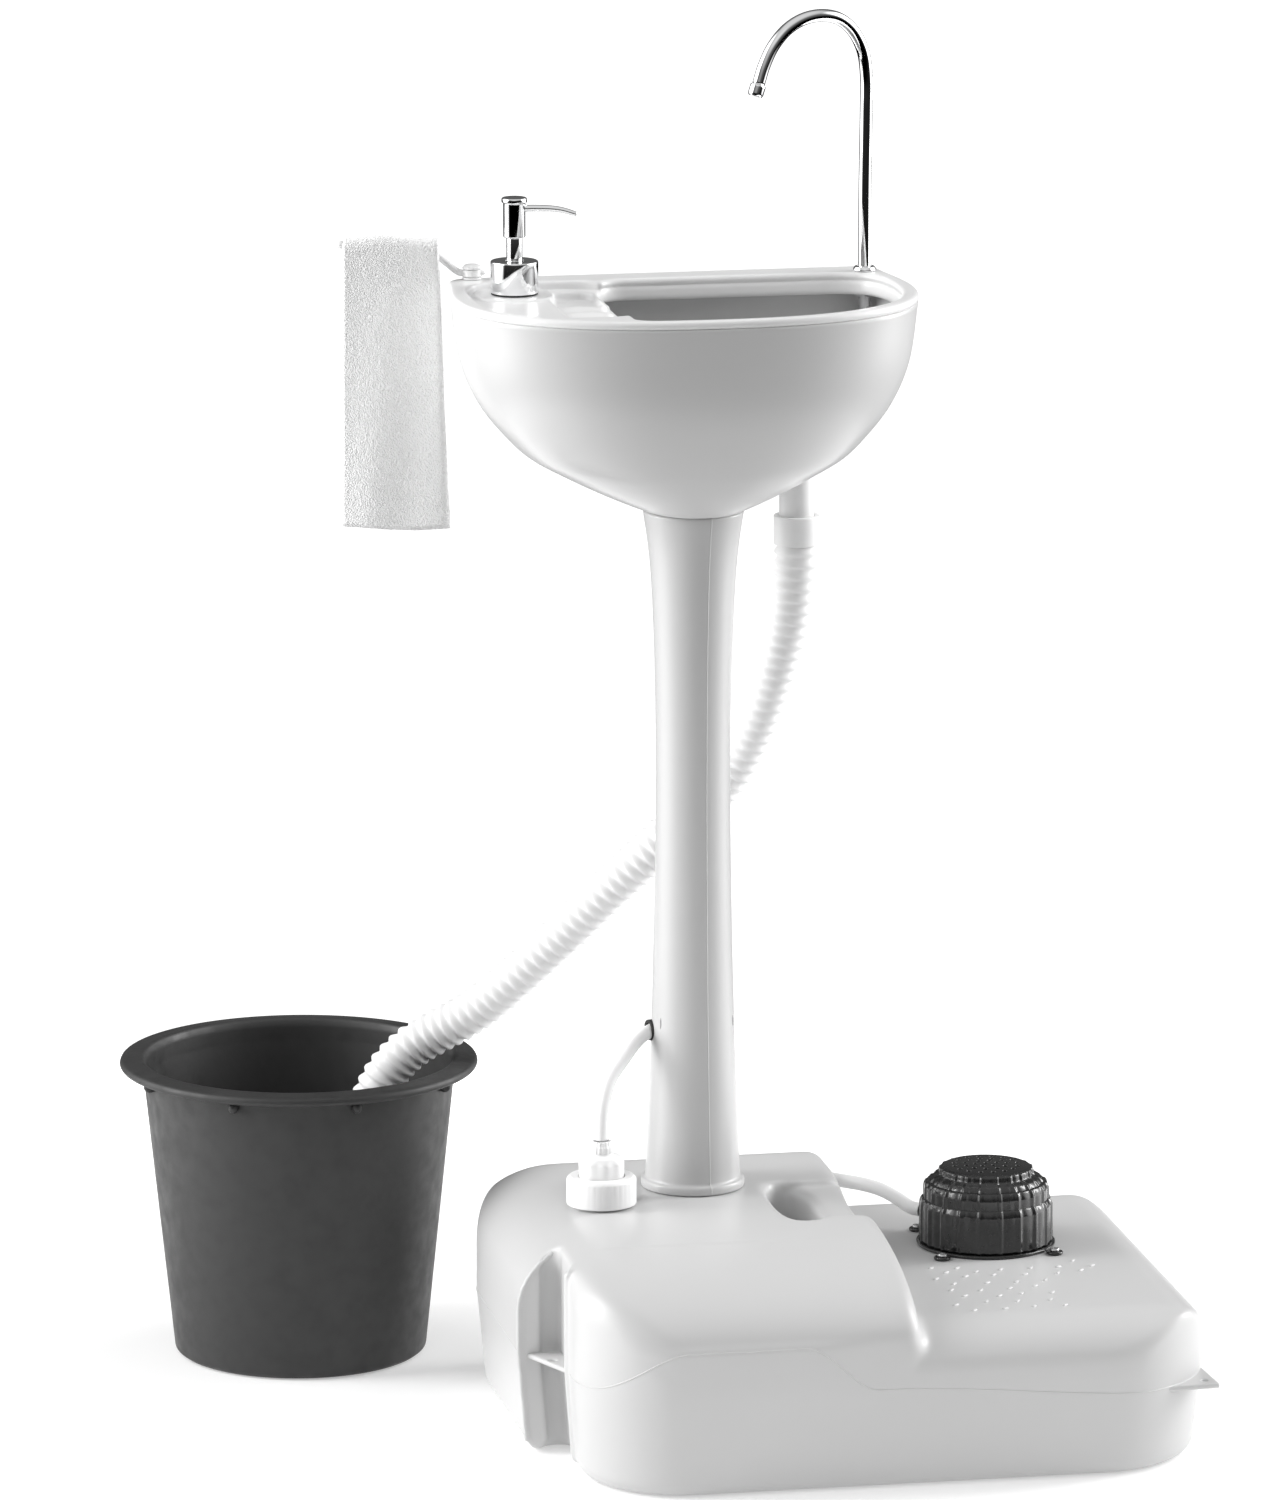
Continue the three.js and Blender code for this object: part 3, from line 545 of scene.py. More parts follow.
def rounded_box(x, y, low, high, corner):
    """Distance from a rectangle with round corners, negative inside."""
    cx, cy = (low[0] + high[0]) / 2, (low[1] + high[1]) / 2
    dx = np.abs(x - cx) - (high[0] - low[0]) / 2 + corner
    dy = np.abs(y - cy) - (high[1] - low[1]) / 2 + corner
    outside = np.hypot(np.maximum(dx, 0), np.maximum(dy, 0))
    return outside + np.minimum(np.maximum(dx, dy), 0) - corner


def polygon_distance(x, y, outline):
    """Distance from a polygon, negative inside."""
    nearest = np.full(np.shape(x), np.inf)
    sign = np.ones(np.shape(x))
    for (ax, ay), (bx, by) in zip(outline, outline[1:] + outline[:1]):
        ex, ey = bx - ax, by - ay
        wx, wy = x - ax, y - ay
        t = np.clip((wx * ex + wy * ey) / (ex * ex + ey * ey), 0, 1)
        nearest = np.minimum(nearest, (wx - ex * t) ** 2 + (wy - ey * t) ** 2)
        above, below = ay <= y, by > y
        left = ex * wy > ey * wx
        crosses = (above & below & left) | (~above & ~below & ~left)
        sign = np.where(crosses, -sign, sign)
    return sign * np.sqrt(nearest)


def slope(field, x, y, z, reach=0.5):
    return [(field(x + dx, y + dy, z + dz) - field(x - dx, y - dy, z - dz)) / (2 * reach)
            for dx, dy, dz in ((reach, 0, 0), (0, reach, 0), (0, 0, reach))]


def as_distance(field, x, y, z, reach=0.5):
    """A field scaled by its own slope, so that it is nearly a distance."""
    steep = np.sqrt(sum(g * g for g in slope(field, x, y, z, reach)))
    return field(x, y, z) / np.maximum(steep, 1e-4)


def skin(name, field, axes, relax=2):
    """The closed surface where field(x, y, z) is nought, as quads: one point in each cell of the grid that
    the surface crosses, then evened out and drawn back onto the surface."""
    grid = np.meshgrid(*axes, indexing="ij")
    values = field(*grid).astype(np.float32)
    inside = values < 0
    size = np.array(values.shape) - 1
    corners = [(i, j, k) for i in (0, 1) for j in (0, 1) for k in (0, 1)]
    count = sum(inside[i:i + size[0], j:j + size[1], k:k + size[2]].astype(np.int8) for i, j, k in corners)
    cells = np.argwhere((count > 0) & (count < 8))
    at = {c: values[tuple((cells + c).T)] for c in corners}
    total = np.zeros((len(cells), 3))
    hits = np.zeros(len(cells))
    for a in corners:
        for axis in range(3):
            if a[axis]:
                continue
            b = tuple(v + (n == axis) for n, v in enumerate(a))
            cross = (at[a] < 0) != (at[b] < 0)
            share = np.where(cross, at[a] / np.where(cross, at[a] - at[b], 1), 0)
            for n in range(3):
                start = np.asarray(axes[n])[cells[:, n] + a[n]]
                end = np.asarray(axes[n])[cells[:, n] + b[n]]
                total[:, n] += np.where(cross, lerp(start, end, share), 0)
            hits += cross
    points = total / hits[:, None]
    number = np.full(size, -1, np.int64)
    number[tuple(cells.T)] = np.arange(len(cells))
    quads = []
    for axis in range(3):
        u, v = (axis + 1) % 3, (axis + 2) % 3
        step = np.eye(3, dtype=int)
        trim = [slice(None)] * 3
        trim[axis] = slice(0, -1)
        first = inside[tuple(trim)]
        trim[axis] = slice(1, None)
        edges = np.argwhere(first != inside[tuple(trim)])
        within = (edges[:, u] > 0) & (edges[:, v] > 0) & (edges[:, u] < size[u]) & (edges[:, v] < size[v])
        edges = edges[within]
        ring = [edges - step[u] - step[v], edges - step[v], edges, edges - step[u]]
        quad = np.stack([number[tuple(r.T)] for r in ring], axis=1)
        flip = ~first[tuple(edges.T)]
        quad[flip] = quad[flip][:, ::-1]
        quads.append(quad)
    quads = np.vstack(quads)
    pairs = np.vstack([quads[:, [i, (i + 1) % 4]] for i in range(4)])
    for _ in range(relax):
        mean, number_of = np.zeros_like(points), np.zeros(len(points))
        for n in range(3):
            mean[:, n] = np.bincount(pairs[:, 0], points[pairs[:, 1], n], len(points))
        number_of = np.bincount(pairs[:, 0], minlength=len(points))
        points = lerp(points, mean / number_of[:, None], 0.6)
        for _ in range(2):
            steep = np.stack(slope(field, *points.T, 0.25), axis=1)
            size_of = np.maximum((steep ** 2).sum(1), 1e-3)
            move = -field(*points.T)[:, None] * steep / size_of[:, None]
            points = points + np.clip(move, -1.5, 1.5)
    return add_mesh(name, points, quads.tolist())


def even(low, high, step):
    return np.arange(low, high + step, step)


# ---------------------------------------------------------------- cords

WATER_ROUTE = [
    (-0.099, -0.058, 0.2726), (-0.099, -0.058, 0.286), (-0.0965, -0.054, 0.304), (-0.089, -0.046, 0.325),
    (-0.072, -0.031, 0.343), (-0.054, -0.011, 0.356), (-0.038, 0.004, 0.361), (-0.02, 0.008, 0.368),
    (-0.008, 0.008, 0.39), (-0.004, 0.006, 0.43), (-0.003, 0.005, 0.52), (-0.003, 0.005, 0.64),
    (-0.003, 0.005, 0.78), (-0.004, 0.012, 0.85), (0, 0.05, 0.892), (0.02, 0.096, 0.918),
    (0.07, 0.121, 0.944), (0.13, 0.123, 0.959), (0.163, 0.119, 0.971), (0.183, 0.117, 0.985),
    (0.188, 0.117, 0.995), (0.188, 0.117, 1.0086),
]
AIR_ROUTE = [
    (0.2233, 0.0067, 0.1713), (0.216, 0.014, 0.1718), (0.205, 0.027, 0.178), (0.193, 0.04, 0.1835),
    (0.179, 0.054, 0.186), (0.163, 0.069, 0.1865), (0.15, 0.0815, 0.1865),
]
DRAIN_ROUTE = [
    (0.1085, 0.045, 0.8146), (0.1083, 0.0452, 0.798), (0.107, 0.046, 0.78), (0.1025, 0.05, 0.741),
    (0.0935, 0.056, 0.702), (0.0825, 0.064, 0.662), (0.0705, 0.074, 0.626), (0.055, 0.084, 0.592),
    (0.028, 0.096, 0.556), (-0.012, 0.11, 0.516), (-0.054, 0.127, 0.472), (-0.098, 0.149, 0.422),
    (-0.139, 0.17, 0.378), (-0.166, 0.186, 0.35), (-0.188, 0.198, 0.332), (-0.208, 0.208, 0.319),
    (-0.231, 0.217, 0.303), (-0.252, 0.223, 0.281), (-0.267, 0.227, 0.254), (-0.275, 0.229, 0.226),
    (-0.279, 0.23, 0.198),
]
SMALL_HOSE = 0.013
DRAIN_HOSE = 0.044
PLEAT = 10.8


def length_of(path):
    return float(np.linalg.norm(np.diff(path, axis=0), axis=1).sum())


def plain_hose(name, route, node, look):
    """A smooth hose as a curve of one spline."""
    path = smooth_route(route, 0.004)
    data = bpy.data.curves.new(name, "CURVE")
    data.dimensions = "3D"
    data.bevel_depth = SMALL_HOSE / 2
    data.bevel_resolution = 8
    data.use_fill_caps = True
    spline = data.splines.new("POLY")
    spline.points.add(len(path) - 1)
    for point, place in zip(spline.points, path):
        point.co = (*place, 1)
    obj = bpy.data.objects.new(name, data)
    bpy.context.scene.collection.objects.link(obj)
    piece(obj, ROOT, look, "hose_plastic", node)
    return obj


def pleated_hose():
    """The drain hose: pleats with a steep and a shallow side."""
    path = smooth_route(DRAIN_ROUTE, 0.0012)
    along = np.linspace(0, length_of(path), len(path)) / MM
    phase = (along / PLEAT) % 1
    tooth = np.where(phase < 0.62, phase / 0.62, (1 - phase) / 0.38)
    tooth = tooth * tooth * (3 - 2 * tooth)
    crest, valley = DRAIN_HOSE / 2 / MM - 0.2, 18.6
    obj = tube("drain_hose_pleated", path / MM, valley + (crest - valley) * tooth, sides=40)
    piece(obj, ROOT, HOSE_PLASTIC, "hose_plastic", "drain_hose")
    return obj, path


def cuff(name, start, end, inner, outer):
    """A plain sleeve with soft edges between two points."""
    start, end = np.array(start, float), np.array(end, float)
    reach = np.linalg.norm(end - start)
    middle = (inner + outer) / 2
    profile = [(middle, 0), (outer, 0), (outer, reach), (inner, reach), (inner, 0), (middle, 0)]
    points, faces = revolve(soften(profile, 1.0), even_angles(64))
    return tidy(add_mesh(name, turn_to(points, end - start) + start, faces))


drain_end = np.array(DRAIN_ROUTE[-1]) / MM
drain_heading = drain_end - np.array(DRAIN_ROUTE[-2]) / MM
drain_heading /= np.linalg.norm(drain_heading)
end_cuff = cuff("drain_hose_cuff", drain_end + drain_heading * 0.6, drain_end + drain_heading * 28, 19, 22.5)
piece(end_cuff, ROOT, HOSE_PLASTIC, "hose_plastic", "hose_cuff_end")
drain_hose, drain_path = pleated_hose()
plain_hose("water_hose_tube", WATER_ROUTE, "water_hose", MILKY_PLASTIC)
plain_hose("air_hose_tube", AIR_ROUTE, "air_hose", WHITE_PLASTIC)


# ---------------------------------------------------------------- tank

LEFT, RIGHT, FRONT, BACK = -197.0, 437.0, -345.0, 168.0
RAISED_TOP, DECK_TOP = 209.0, 150.0
NARROW_LEFT, NOTCH_FRONT, NOTCH_BACK = -162.0, -222.0, -160.0
TAPER_BELOW, DRAFT = 97.0, 0.028
PUMP_AT = (275.0, -45.0)
CAP_AT = (-99.0, -58.0)


def parting_height(x):
    """Where the mould's halves met: low at the left, high across the raised part and low along the deck."""
    return 95 + 44 * rise(x, -165, -70) - 43 * rise(x, 38, 108) - 17 * rise(x, 112, 380)


def tank_plan(x, y):
    """Distance from the tank's outline on the floor. In front of the notch the left side is set in."""
    back_part = np.maximum(rounded_box(x, y, (LEFT, FRONT - 300), (RIGHT + 200, BACK), 110), NOTCH_BACK - y)
    front_part = rounded_box(x, y, (NARROW_LEFT, FRONT), (RIGHT + 200, BACK), 100)
    right_end = rounded_box(x, y, (LEFT - 200, FRONT), (RIGHT, BACK), 112)
    return np.maximum(soft_min(back_part, front_part, 14), right_end)


def dome(top, shoulder, flat_front, flat_back, left, right):
    """A hood whose sides curve in over its shoulder, as a field that is nought on its surface."""
    def field(x, y, z):
        front = np.maximum(flat_front - y, 0) / (flat_front - FRONT)
        back = np.maximum(y - flat_back, 0) / (BACK - flat_back)
        sides = np.maximum(np.maximum(LEFT + left - x, 0) / left, np.maximum(x - RIGHT + right, 0) / right)
        up = np.maximum(z - shoulder, 0) / (top - shoulder)
        outline = (sides ** 3 + np.maximum(front, back) ** 3 + 1e-9) ** (1 / 3)
        return np.sqrt(outline ** 2 + up ** 2 + 1e-9) - 1
    return field


RAISED_HOOD = dome(RAISED_TOP, 138.0, -130.0, 92.0, 92.0, 46.0)
DECK_HOOD = dome(DECK_TOP, 106.0, -285.0, 100.0, 92.0, 46.0)


def step_wall(y):
    """Where the raised part ends: it is waisted beside the handle."""
    return 148 - 12 * rise(y, -140, -124) * (1 - rise(y, -100, 60))


def pocket_outline(x, y, z):
    return ((np.abs(x - 83) / 20) ** 2.6 + (np.abs(y + 74) / 68) ** 2.6 + 1e-9) ** (1 / 2.6) - 1


def handle_cuts(body, x, y, z):
    """The pocket for the fingers, and the bar at its right a little below the top."""
    pocket = soft_max(as_distance(pocket_outline, x, y, z), 146 - z, 14)
    bar = soft_max(rounded_box(x, y, (82, -137), (220, -8), 14), 203.6 - z, 5)
    body = soft_max(body, -bar, 5)
    return soft_max(body, -pocket, 11)


def tank_field(x, y, z):
    taper = 1 - DRAFT * np.clip(1 - z / TAPER_BELOW, 0, 1)
    cx, cy = (LEFT + RIGHT) / 2, (FRONT + BACK) / 2
    x_in, y_in = cx + (x - cx) / taper, cy + (y - cy) / taper
    plan = tank_plan(x_in, y_in)
    ledge = 4.5 * rise(z, 136, 147) * rise(x, -165, -90) * (1 - rise(x, 40, 110)) * (y < -200)
    hood = as_distance(RAISED_HOOD, x_in, y_in - ledge, z)
    edge = 6 + 15 * rise(-y, 205, 260) * rise(-x, 70, 130)
    raised = soft_max(soft_max(hood, plan, edge), x - step_wall(y), 18)
    raised = handle_cuts(raised, x, y, z)
    deck = soft_max(as_distance(DECK_HOOD, x_in, y_in, z), plan, 6)
    fillet = 0.5 + 13 * rise(x, 95, 140) * rise(z, 108, 138)
    body = soft_min(raised, deck, fillet)
    groove = rounded_box(x_in, y_in, (-176, NOTCH_FRONT + 8), (NARROW_LEFT + 5, -150), 9)
    body = soft_max(body, -groove, 5)
    left_lip = np.maximum(np.hypot(hood, y_in - NOTCH_BACK) - 2.3, x_in + 164)
    right_lip = soft_max(np.hypot(x_in - NARROW_LEFT, y_in - NOTCH_FRONT) - 3.4, hood - 0.6, 3)
    body = soft_min(body, np.minimum(left_lip, right_lip), 3.5)
    body = soft_max(body, -z, 16)
    neck = np.maximum(np.hypot(x - CAP_AT[0], y - CAP_AT[1]) - 25.8, np.abs(z - 200) - 14)
    return soft_min(body, neck, 3)


def make_tank():
    fine, coarse = 2.6, 4.0
    x = np.concatenate([np.arange(-203, -130, fine), np.arange(-130, 52, coarse), np.arange(52, 165, fine),
                        np.arange(165, 445, coarse)])
    y = np.concatenate([np.arange(-351, -325, fine), np.arange(-325, -240, coarse), np.arange(-240, 10, fine),
                        np.arange(10, 176, coarse)])
    z = np.concatenate([[-6], np.arange(-3, 120, coarse), np.arange(120, 218, fine)])
    tank = skin("tank_moulding", tank_field, (x, y, z))
    piece(tank, ROOT, TANK_PLASTIC, "tank_plastic", "tank_shell")


def make_parting_line():
    """The fine raised line where the mould's halves met, round the tank's side."""
    angles = even_angles(900)
    centre = np.array([(LEFT + RIGHT) / 2, (FRONT + BACK) / 2])
    near, far = np.full(900, 60.0), np.full(900, 470.0)
    for _ in range(22):
        middle = (near + far) / 2
        x, y = centre[0] + middle * np.cos(angles), centre[1] + middle * np.sin(angles)
        inside = tank_field(x, y, parting_height(x)) < 0
        near, far = np.where(inside, middle, near), np.where(inside, far, middle)
    reach = near - 0.35
    x, y = centre[0] + reach * np.cos(angles), centre[1] + reach * np.sin(angles)
    path = np.stack([x, y, parting_height(x)], axis=1)
    in_notch = (x < -150) & (y > -232) & (y < -150)
    start = int(np.argmax(in_notch))
    path = np.roll(path, -start, axis=0)[int(in_notch.sum()):]
    line = tube("tank_parting_line", respace(path, 3.0), 0.9, sides=8)
    piece(line, ROOT, TANK_PLASTIC, "tank_plastic")


def make_dashes():
    """Short raised bars on the deck that keep a wet foot from slipping, in loosely staggered rows."""
    rng = np.random.default_rng(5)
    parts = []
    for row, back_off in enumerate((84, 101, 119, 143, 166, 188, 211, 233)):
        for column in range(7):
            shift = rng.uniform(-4, 4, 2)
            x = -74 + column * 28 + (row % 2) * 13 + shift[0]
            y = -back_off + shift[1] * 0.8
            reach = 92 if row < 3 else 26
            if math.hypot(x, y) < 96 or x > reach or x < -80:
                continue
            turn = math.radians(rng.uniform(38, 60))
            half = 4.6 * np.array([math.cos(turn), math.sin(turn), 0])
            middle = np.array([PUMP_AT[0] + x, PUMP_AT[1] + y, DECK_TOP - 0.5])
            along = np.linspace(-1, 1, 9)
            radii = 2.0 * np.sqrt(np.clip(1 - (along * 0.98) ** 4, 0, 1)) + 0.15
            parts.append(sweep(middle + along[:, None] * half, radii, sides=10))
    piece(merged("tank_grip_dashes", parts), ROOT, TANK_PLASTIC, "tank_plastic")


def make_tabs():
    """Flat lugs at the parting line with a hole for a ground peg."""
    middle = FRONT + BACK
    corner = [(376, -327), (437, -322), (434, -262), (400, -270)]
    lugs = {
        "tank_tab_notch": ([(-192, -157), (-155, -157), (-150, -226), (-163, -226)], 92, (-170, -188)),
        "tank_tab_front": (corner, 74, (424, -308)),
        "tank_tab_back": ([(x, middle - y) for x, y in corner], 74, (424, middle + 308)),
    }
    for name, (outline, low, hole) in lugs.items():
        def lug(x, y, z):
            flat = polygon_distance(x, y, outline) + 1.5
            plate = soft_max(flat, np.abs(z - low - 2.5) - 2.5, 2.5)
            return soft_max(plate, 3.5 - np.hypot(x - hole[0], y - hole[1]), 1.5)
        xs, ys = [p[0] for p in outline], [p[1] for p in outline]
        axes = (even(min(xs) - 3, max(xs) + 3, 1.3), even(min(ys) - 3, max(ys) + 3, 1.3),
                even(low - 2, low + 7, 0.9))
        piece(skin(name, lug, axes), ROOT, TANK_PLASTIC, "tank_plastic")


make_tank()
make_parting_line()
make_dashes()
make_tabs()


# ---------------------------------------------------------------- filler cap

def make_cap():
    at = (*CAP_AT, 0)

    def knurl(angle, height):
        mask = rise(height, 212, 214) * (1 - rise(height, 232, 235))
        return -0.9 * mask * (0.5 + 0.5 * np.cos(36 * angle)) ** 3

    def lobes(angle, height):
        return 0.8 * np.cos(8 * angle) * rise(height, 233, 236) * (1 - rise(height, 251, 257))

    def flutes(angle, height):
        return -0.5 * (0.5 + 0.5 * np.cos(18 * angle)) ** 2

    ring = [(27, 211), (33, 211), (33, 235), (30, 238), (22.2, 238), (22.2, 231.5), (27, 231.5), (27, 211)]
    lathe("filler_cap_ring_knurled", "filler_cap_ring", "filler_cap", MILKY_PLASTIC, "white_plastic",
          ring, 1.2, 288, at, knurl)
    fitting = [(3.6, 207), (8, 207), (8, 227.6), (21, 227.6), (21, 251), (18, 256.5), (11.4, 259),
               (10.6, 261), (3.6, 261), (3.6, 207)]
    lathe("hose_fitting", "hose_adapter", ROOT, MILKY_PLASTIC, "white_plastic", fitting, 1.6, 160, at, lobes)
    nut = [(7, 260.4), (11.5, 260.4), (11.5, 266), (10, 268), (9.6, 271.4), (7, 271.4), (7, 260.4)]
    lathe("hose_fitting_nut", "adapter_nut", ROOT, MILKY_PLASTIC, "white_plastic", nut, 0.8, 144, at, flutes)


make_cap()


# ---------------------------------------------------------------- column

SEAM_ANGLE = math.radians(-80)


def make_column():
    foot = [(30, 209.5), (48.8, 209.5), (49.5, 214), (48.6, 217.5), (45.4, 219)]
    sides = smooth_route([
        (44.9, 221), (42.6, 280), (38.5, 387), (35, 578), (35.5, 675), (37.5, 751), (40.6, 808), (44, 838),
        (47.2, 858),
    ], 7.5)
    profile = np.vstack([soften(foot, 1.6), sides, [(47.2, 860), (30, 860)]])
    fine = np.linspace(-1.6, 1.6, 17) * math.radians(1)
    seams = (SEAM_ANGLE + 2 * math.pi, SEAM_ANGLE + math.pi)
    angles = np.unique(np.concatenate([even_angles(120), *(fine + at for at in seams)]))
    angles = angles % (2 * math.pi)
    angles.sort()

    def seam(angle, height):
        off = (angle - SEAM_ANGLE + math.pi / 2) % math.pi - math.pi / 2
        return 0.42 * np.exp(-(off / math.radians(0.55)) ** 2) * rise(height, 209.8, 211)

    column = turned("column_moulding", profile, angles, seam)
    piece(column, ROOT, COLUMN_PLASTIC, "tank_plastic", "column")
    clips = []
    for turn in (-153, -27):
        angle = math.radians(turn)
        at = np.array([math.cos(angle), math.sin(angle), 0]) * 38.75
        path = at + np.linspace(366, 377, 9)[:, None] * np.array([0, 0, 1])
        clips.append(sweep(path, [0.2, 1.0, 1.3, 1.3, 1.3, 1.3, 1.3, 1.0, 0.2], sides=12))
    piece(merged("column_clips", clips), ROOT, COLUMN_PLASTIC, "tank_plastic")
    port = cuff("column_hose_port", (-42.6, 2.0, 361), (-36.5, 3.4, 361), 7.0, 10.0)
    piece(port, ROOT, RUBBER, "black_rubber")


make_column()


# ---------------------------------------------------------------- basin

WIDE_Y = 35.0
SHELL = [
    (50, 861), (68, 868), (95, 880), (125, 895), (153, 911), (173, 930), (195, 958), (211.5, 995),
    (220.5, 1053.7),
]
SOAP_AT = (-154.0, 85.0)
TAP_AT = (188.0, 117.0)
DRAIN_AT = (108.0, 45.0)


def d_outline(x, y, half, half_back, front, back):
    """Nearly the distance from the basin's outline: rounded across the front and straight across the back."""
    power = 2.35
    u = np.abs(x) / half
    v = np.maximum(WIDE_Y - y, 0) / (WIDE_Y - front)
    reach = (half * u + (WIDE_Y - front) * v) / np.maximum(u + v, 1e-6)
    rounded = ((u ** power + v ** power) ** (1 / power) - 1) * reach
    side = np.abs(x) - lerp(half, half_back, rise(y, WIDE_Y, back))
    return soft_max(np.where(y < WIDE_Y, rounded, side), y - back, 22)


def shell_outline(x, y, half):
    narrower = 1 - 0.02 * np.clip(half / 100 - 0.6, 0, 1)
    x = np.where(x > 0, x / narrower, x)
    share = (half - 50) / 170.5
    front = lerp(-50, -138, np.clip(share, 0, 1) ** 0.9)
    back = lerp(100, 149, np.minimum(1, share * 1.9))
    return d_outline(x, y, half, lerp(40, 208, share), front, back)


def outline_ring(half, inset, z, count=260):
    """Evenly spaced points round the outline at one height."""
    angles = even_angles(900)
    near, far = np.full(900, 5.0), np.full(900, 320.0)
    for _ in range(24):
        middle = (near + far) / 2
        inside = shell_outline(middle * np.cos(angles), WIDE_Y + middle * np.sin(angles), half) < -inset
        near, far = np.where(inside, middle, near), np.where(inside, far, middle)
    ring = np.stack([near * np.cos(angles), WIDE_Y + near * np.sin(angles)], axis=1)
    ring = respace(np.vstack([ring, ring[:1]]), 1)
    pick = np.linspace(0, len(ring) - 1, count, endpoint=False)
    ring = np.stack([np.interp(pick, np.arange(len(ring)), column) for column in ring.T], axis=1)
    return np.column_stack([ring, np.full(count, z)])


def make_basin_shell():
    side = smooth_route(SHELL, 4.5)
    rows = [outline_ring(40, 0, 860.8), outline_ring(48.5, 0, 860.9)]
    rows += [outline_ring(half, 0, z) for half, z in side[:-1]]
    edge = ((0, 1052), (0.7, 1053.2), (2.0, 1053.7), (3.5, 1053.2))
    rows += [outline_ring(220.3, inset, z) for inset, z in edge]
    rows += [outline_ring(half, 3.5, z + 2.5) for half, z in side[-2::-3] if z > 870]
    rows.append(outline_ring(56, 3, 872))
    points, faces = np.vstack(rows), grid_faces(len(rows), 260)
    points, faces = close_ends(points, faces, len(rows), 260)
    shell = tidy(add_mesh("basin_shell_moulding", points, faces))
    piece(shell, ROOT, BASIN_PLASTIC, "basin_plastic", "basin_shell")


BOWL_LEVELS = [940, 943, 952, 970, 1002, 1056, 1070]
BOWL_INSETS = [46, 34, 22, 13, 6, 0, 0]


def bowl_field(x, y, z):
    """Below nought inside the bowl's hollow."""
    inset = np.interp(z, BOWL_LEVELS, BOWL_INSETS)
    low = (-75 + inset, -140 + inset * 1.2)
    high = (212 - inset * 1.1, 113 - inset * 0.7)
    corner = np.where(x < 60, 32.0, 62.0) - inset * 0.4
    box = rounded_box(x, y, low, high, corner)
    half = np.interp(z, [row[1] for row in SHELL], [row[0] for row in SHELL])
    return soft_max(soft_max(box, shell_outline(x, y, half) + 15, 16), 940 - z, 22)


def basin_top_field(x, y, z):
    outline = shell_outline(x, y, 221.0)
    rim = soft_max(outline, np.abs(z - 1057.2) - 4.3, 5)
    inner = np.maximum(outline + 6, np.abs(z - 1047.5) - 7.5)
    bowl = bowl_field(x, y, z)
    skin_of_bowl = np.maximum(bowl - 3, z - 1052)
    solid = np.minimum(np.minimum(rim, inner), skin_of_bowl)
    deck = soft_max(rounded_box(x, y, (-206, -92), (-58, 113), 40), outline + 15, 14)
    solid = soft_max(solid, -soft_max(deck, 1053.5 - z, 4), 4)
    from_pump = np.hypot(x - SOAP_AT[0], y - SOAP_AT[1])
    pad = soft_max(from_pump - 38.5, z - 1055, 2)
    solid = soft_min(solid, np.maximum(pad, 1044 - z), 2)
    groove = np.hypot(from_pump - 33, z - 1055.2) - 0.9
    solid = soft_max(solid, -groove, 0.8)
    dish = soft_max(rounded_box(x, y, (-124, -88), (-79, 98), 14), 37 - from_pump, 8)
    fan = np.sin((y * 0.92 + (x + 100) * 0.5 + 8 * np.sin(x * 0.09)) * 0.21)
    floor = 1046.4 + 1.9 * fan
    solid = soft_max(solid, -soft_max(dish, floor - z, 4), 4)
    for (hole_x, hole_y), radius in ((SOAP_AT, 16), (TAP_AT, 6.3), (DRAIN_AT, 15.8)):
        solid = soft_max(solid, radius - np.hypot(x - hole_x, y - hole_y), 0.8)
    drip = rounded_box(x, y, (-88, -40), (-66, 20), 9)
    solid = soft_max(solid, -soft_max(drip, 1050.5 - z, 4), 4)
    return soft_max(solid, -bowl, 6)


def make_basin_top():
    step = 2.1
    axes = (even(-225, 225, step), even(-142, 153, step),
            np.concatenate([np.arange(934, 1040, step), np.arange(1040, 1065, 1.4)]))
    top = skin("basin_top_moulding", basin_top_field, axes, relax=2)
    # The top's plastic is painted lighter than the shell's: painted light on the rim, the deck and the bowl.
    piece(top, ROOT, BASIN_TOP_LIGHTENED_PLASTIC, "basin_plastic", "basin_top")


def make_strainer():
    x, y = DRAIN_AT
    flange = soften([
        (2, 936.6), (15.4, 936.6), (15.4, 940.4), (23, 940.4), (22.6, 941.6), (20, 942.7), (15, 942.4),
        (12.5, 939.5), (2, 939.2),
    ], 0.5)
    parts = [revolve(flange, even_angles(72), at=(x, y, 0))]
    for turn in range(4):
        angle = turn * math.pi / 4
        reach = 12 * np.array([math.cos(angle), math.sin(angle), 0])
        path = np.array([x, y, 940.2]) + np.linspace(-1, 1, 9)[:, None] * reach
        parts.append(sweep(path, 1.0, sides=10))
    piece(merged("drain_strainer_cross", parts), ROOT, CHROME, "chrome", "drain_strainer")


make_basin_shell()
make_basin_top()
make_strainer()
tailpiece = cuff("drain_tailpiece_pipe", (*DRAIN_AT, 828), (*DRAIN_AT, 905.4), 14, 16.5)
piece(tailpiece, ROOT, WHITE_PLASTIC, "hose_plastic", "drain_tailpiece")
CUFF_AT = (DRAIN_AT[0] + 0.4, DRAIN_AT[1])
top_cuff = cuff("drain_hose_top_cuff", (*CUFF_AT, 815.2), (*CUFF_AT, 843), 16.9, 22)
piece(top_cuff, ROOT, HOSE_PLASTIC, "hose_plastic", "hose_cuff_top")


# ---------------------------------------------------------------- foot pump

PUMP_RIBS = 20
PUMP_BASE = 150.3
SCREW_CIRCLE = 77.0


def ribs(height_from, height_to, depth=2.0):
    """Narrow upright ribs, as a ripple that fades in and out between two heights."""
    def ripple(angle, height):
        wave = (0.5 + 0.5 * np.cos(PUMP_RIBS * angle)) ** 7
        bulge = 0.35 * np.cos(PUMP_RIBS * angle)
        fade = rise(height, height_from, height_from + 1.5) * (1 - rise(height, height_to - 2, height_to))
        return (depth * (wave - 0.35) - bulge) * fade
    return ripple


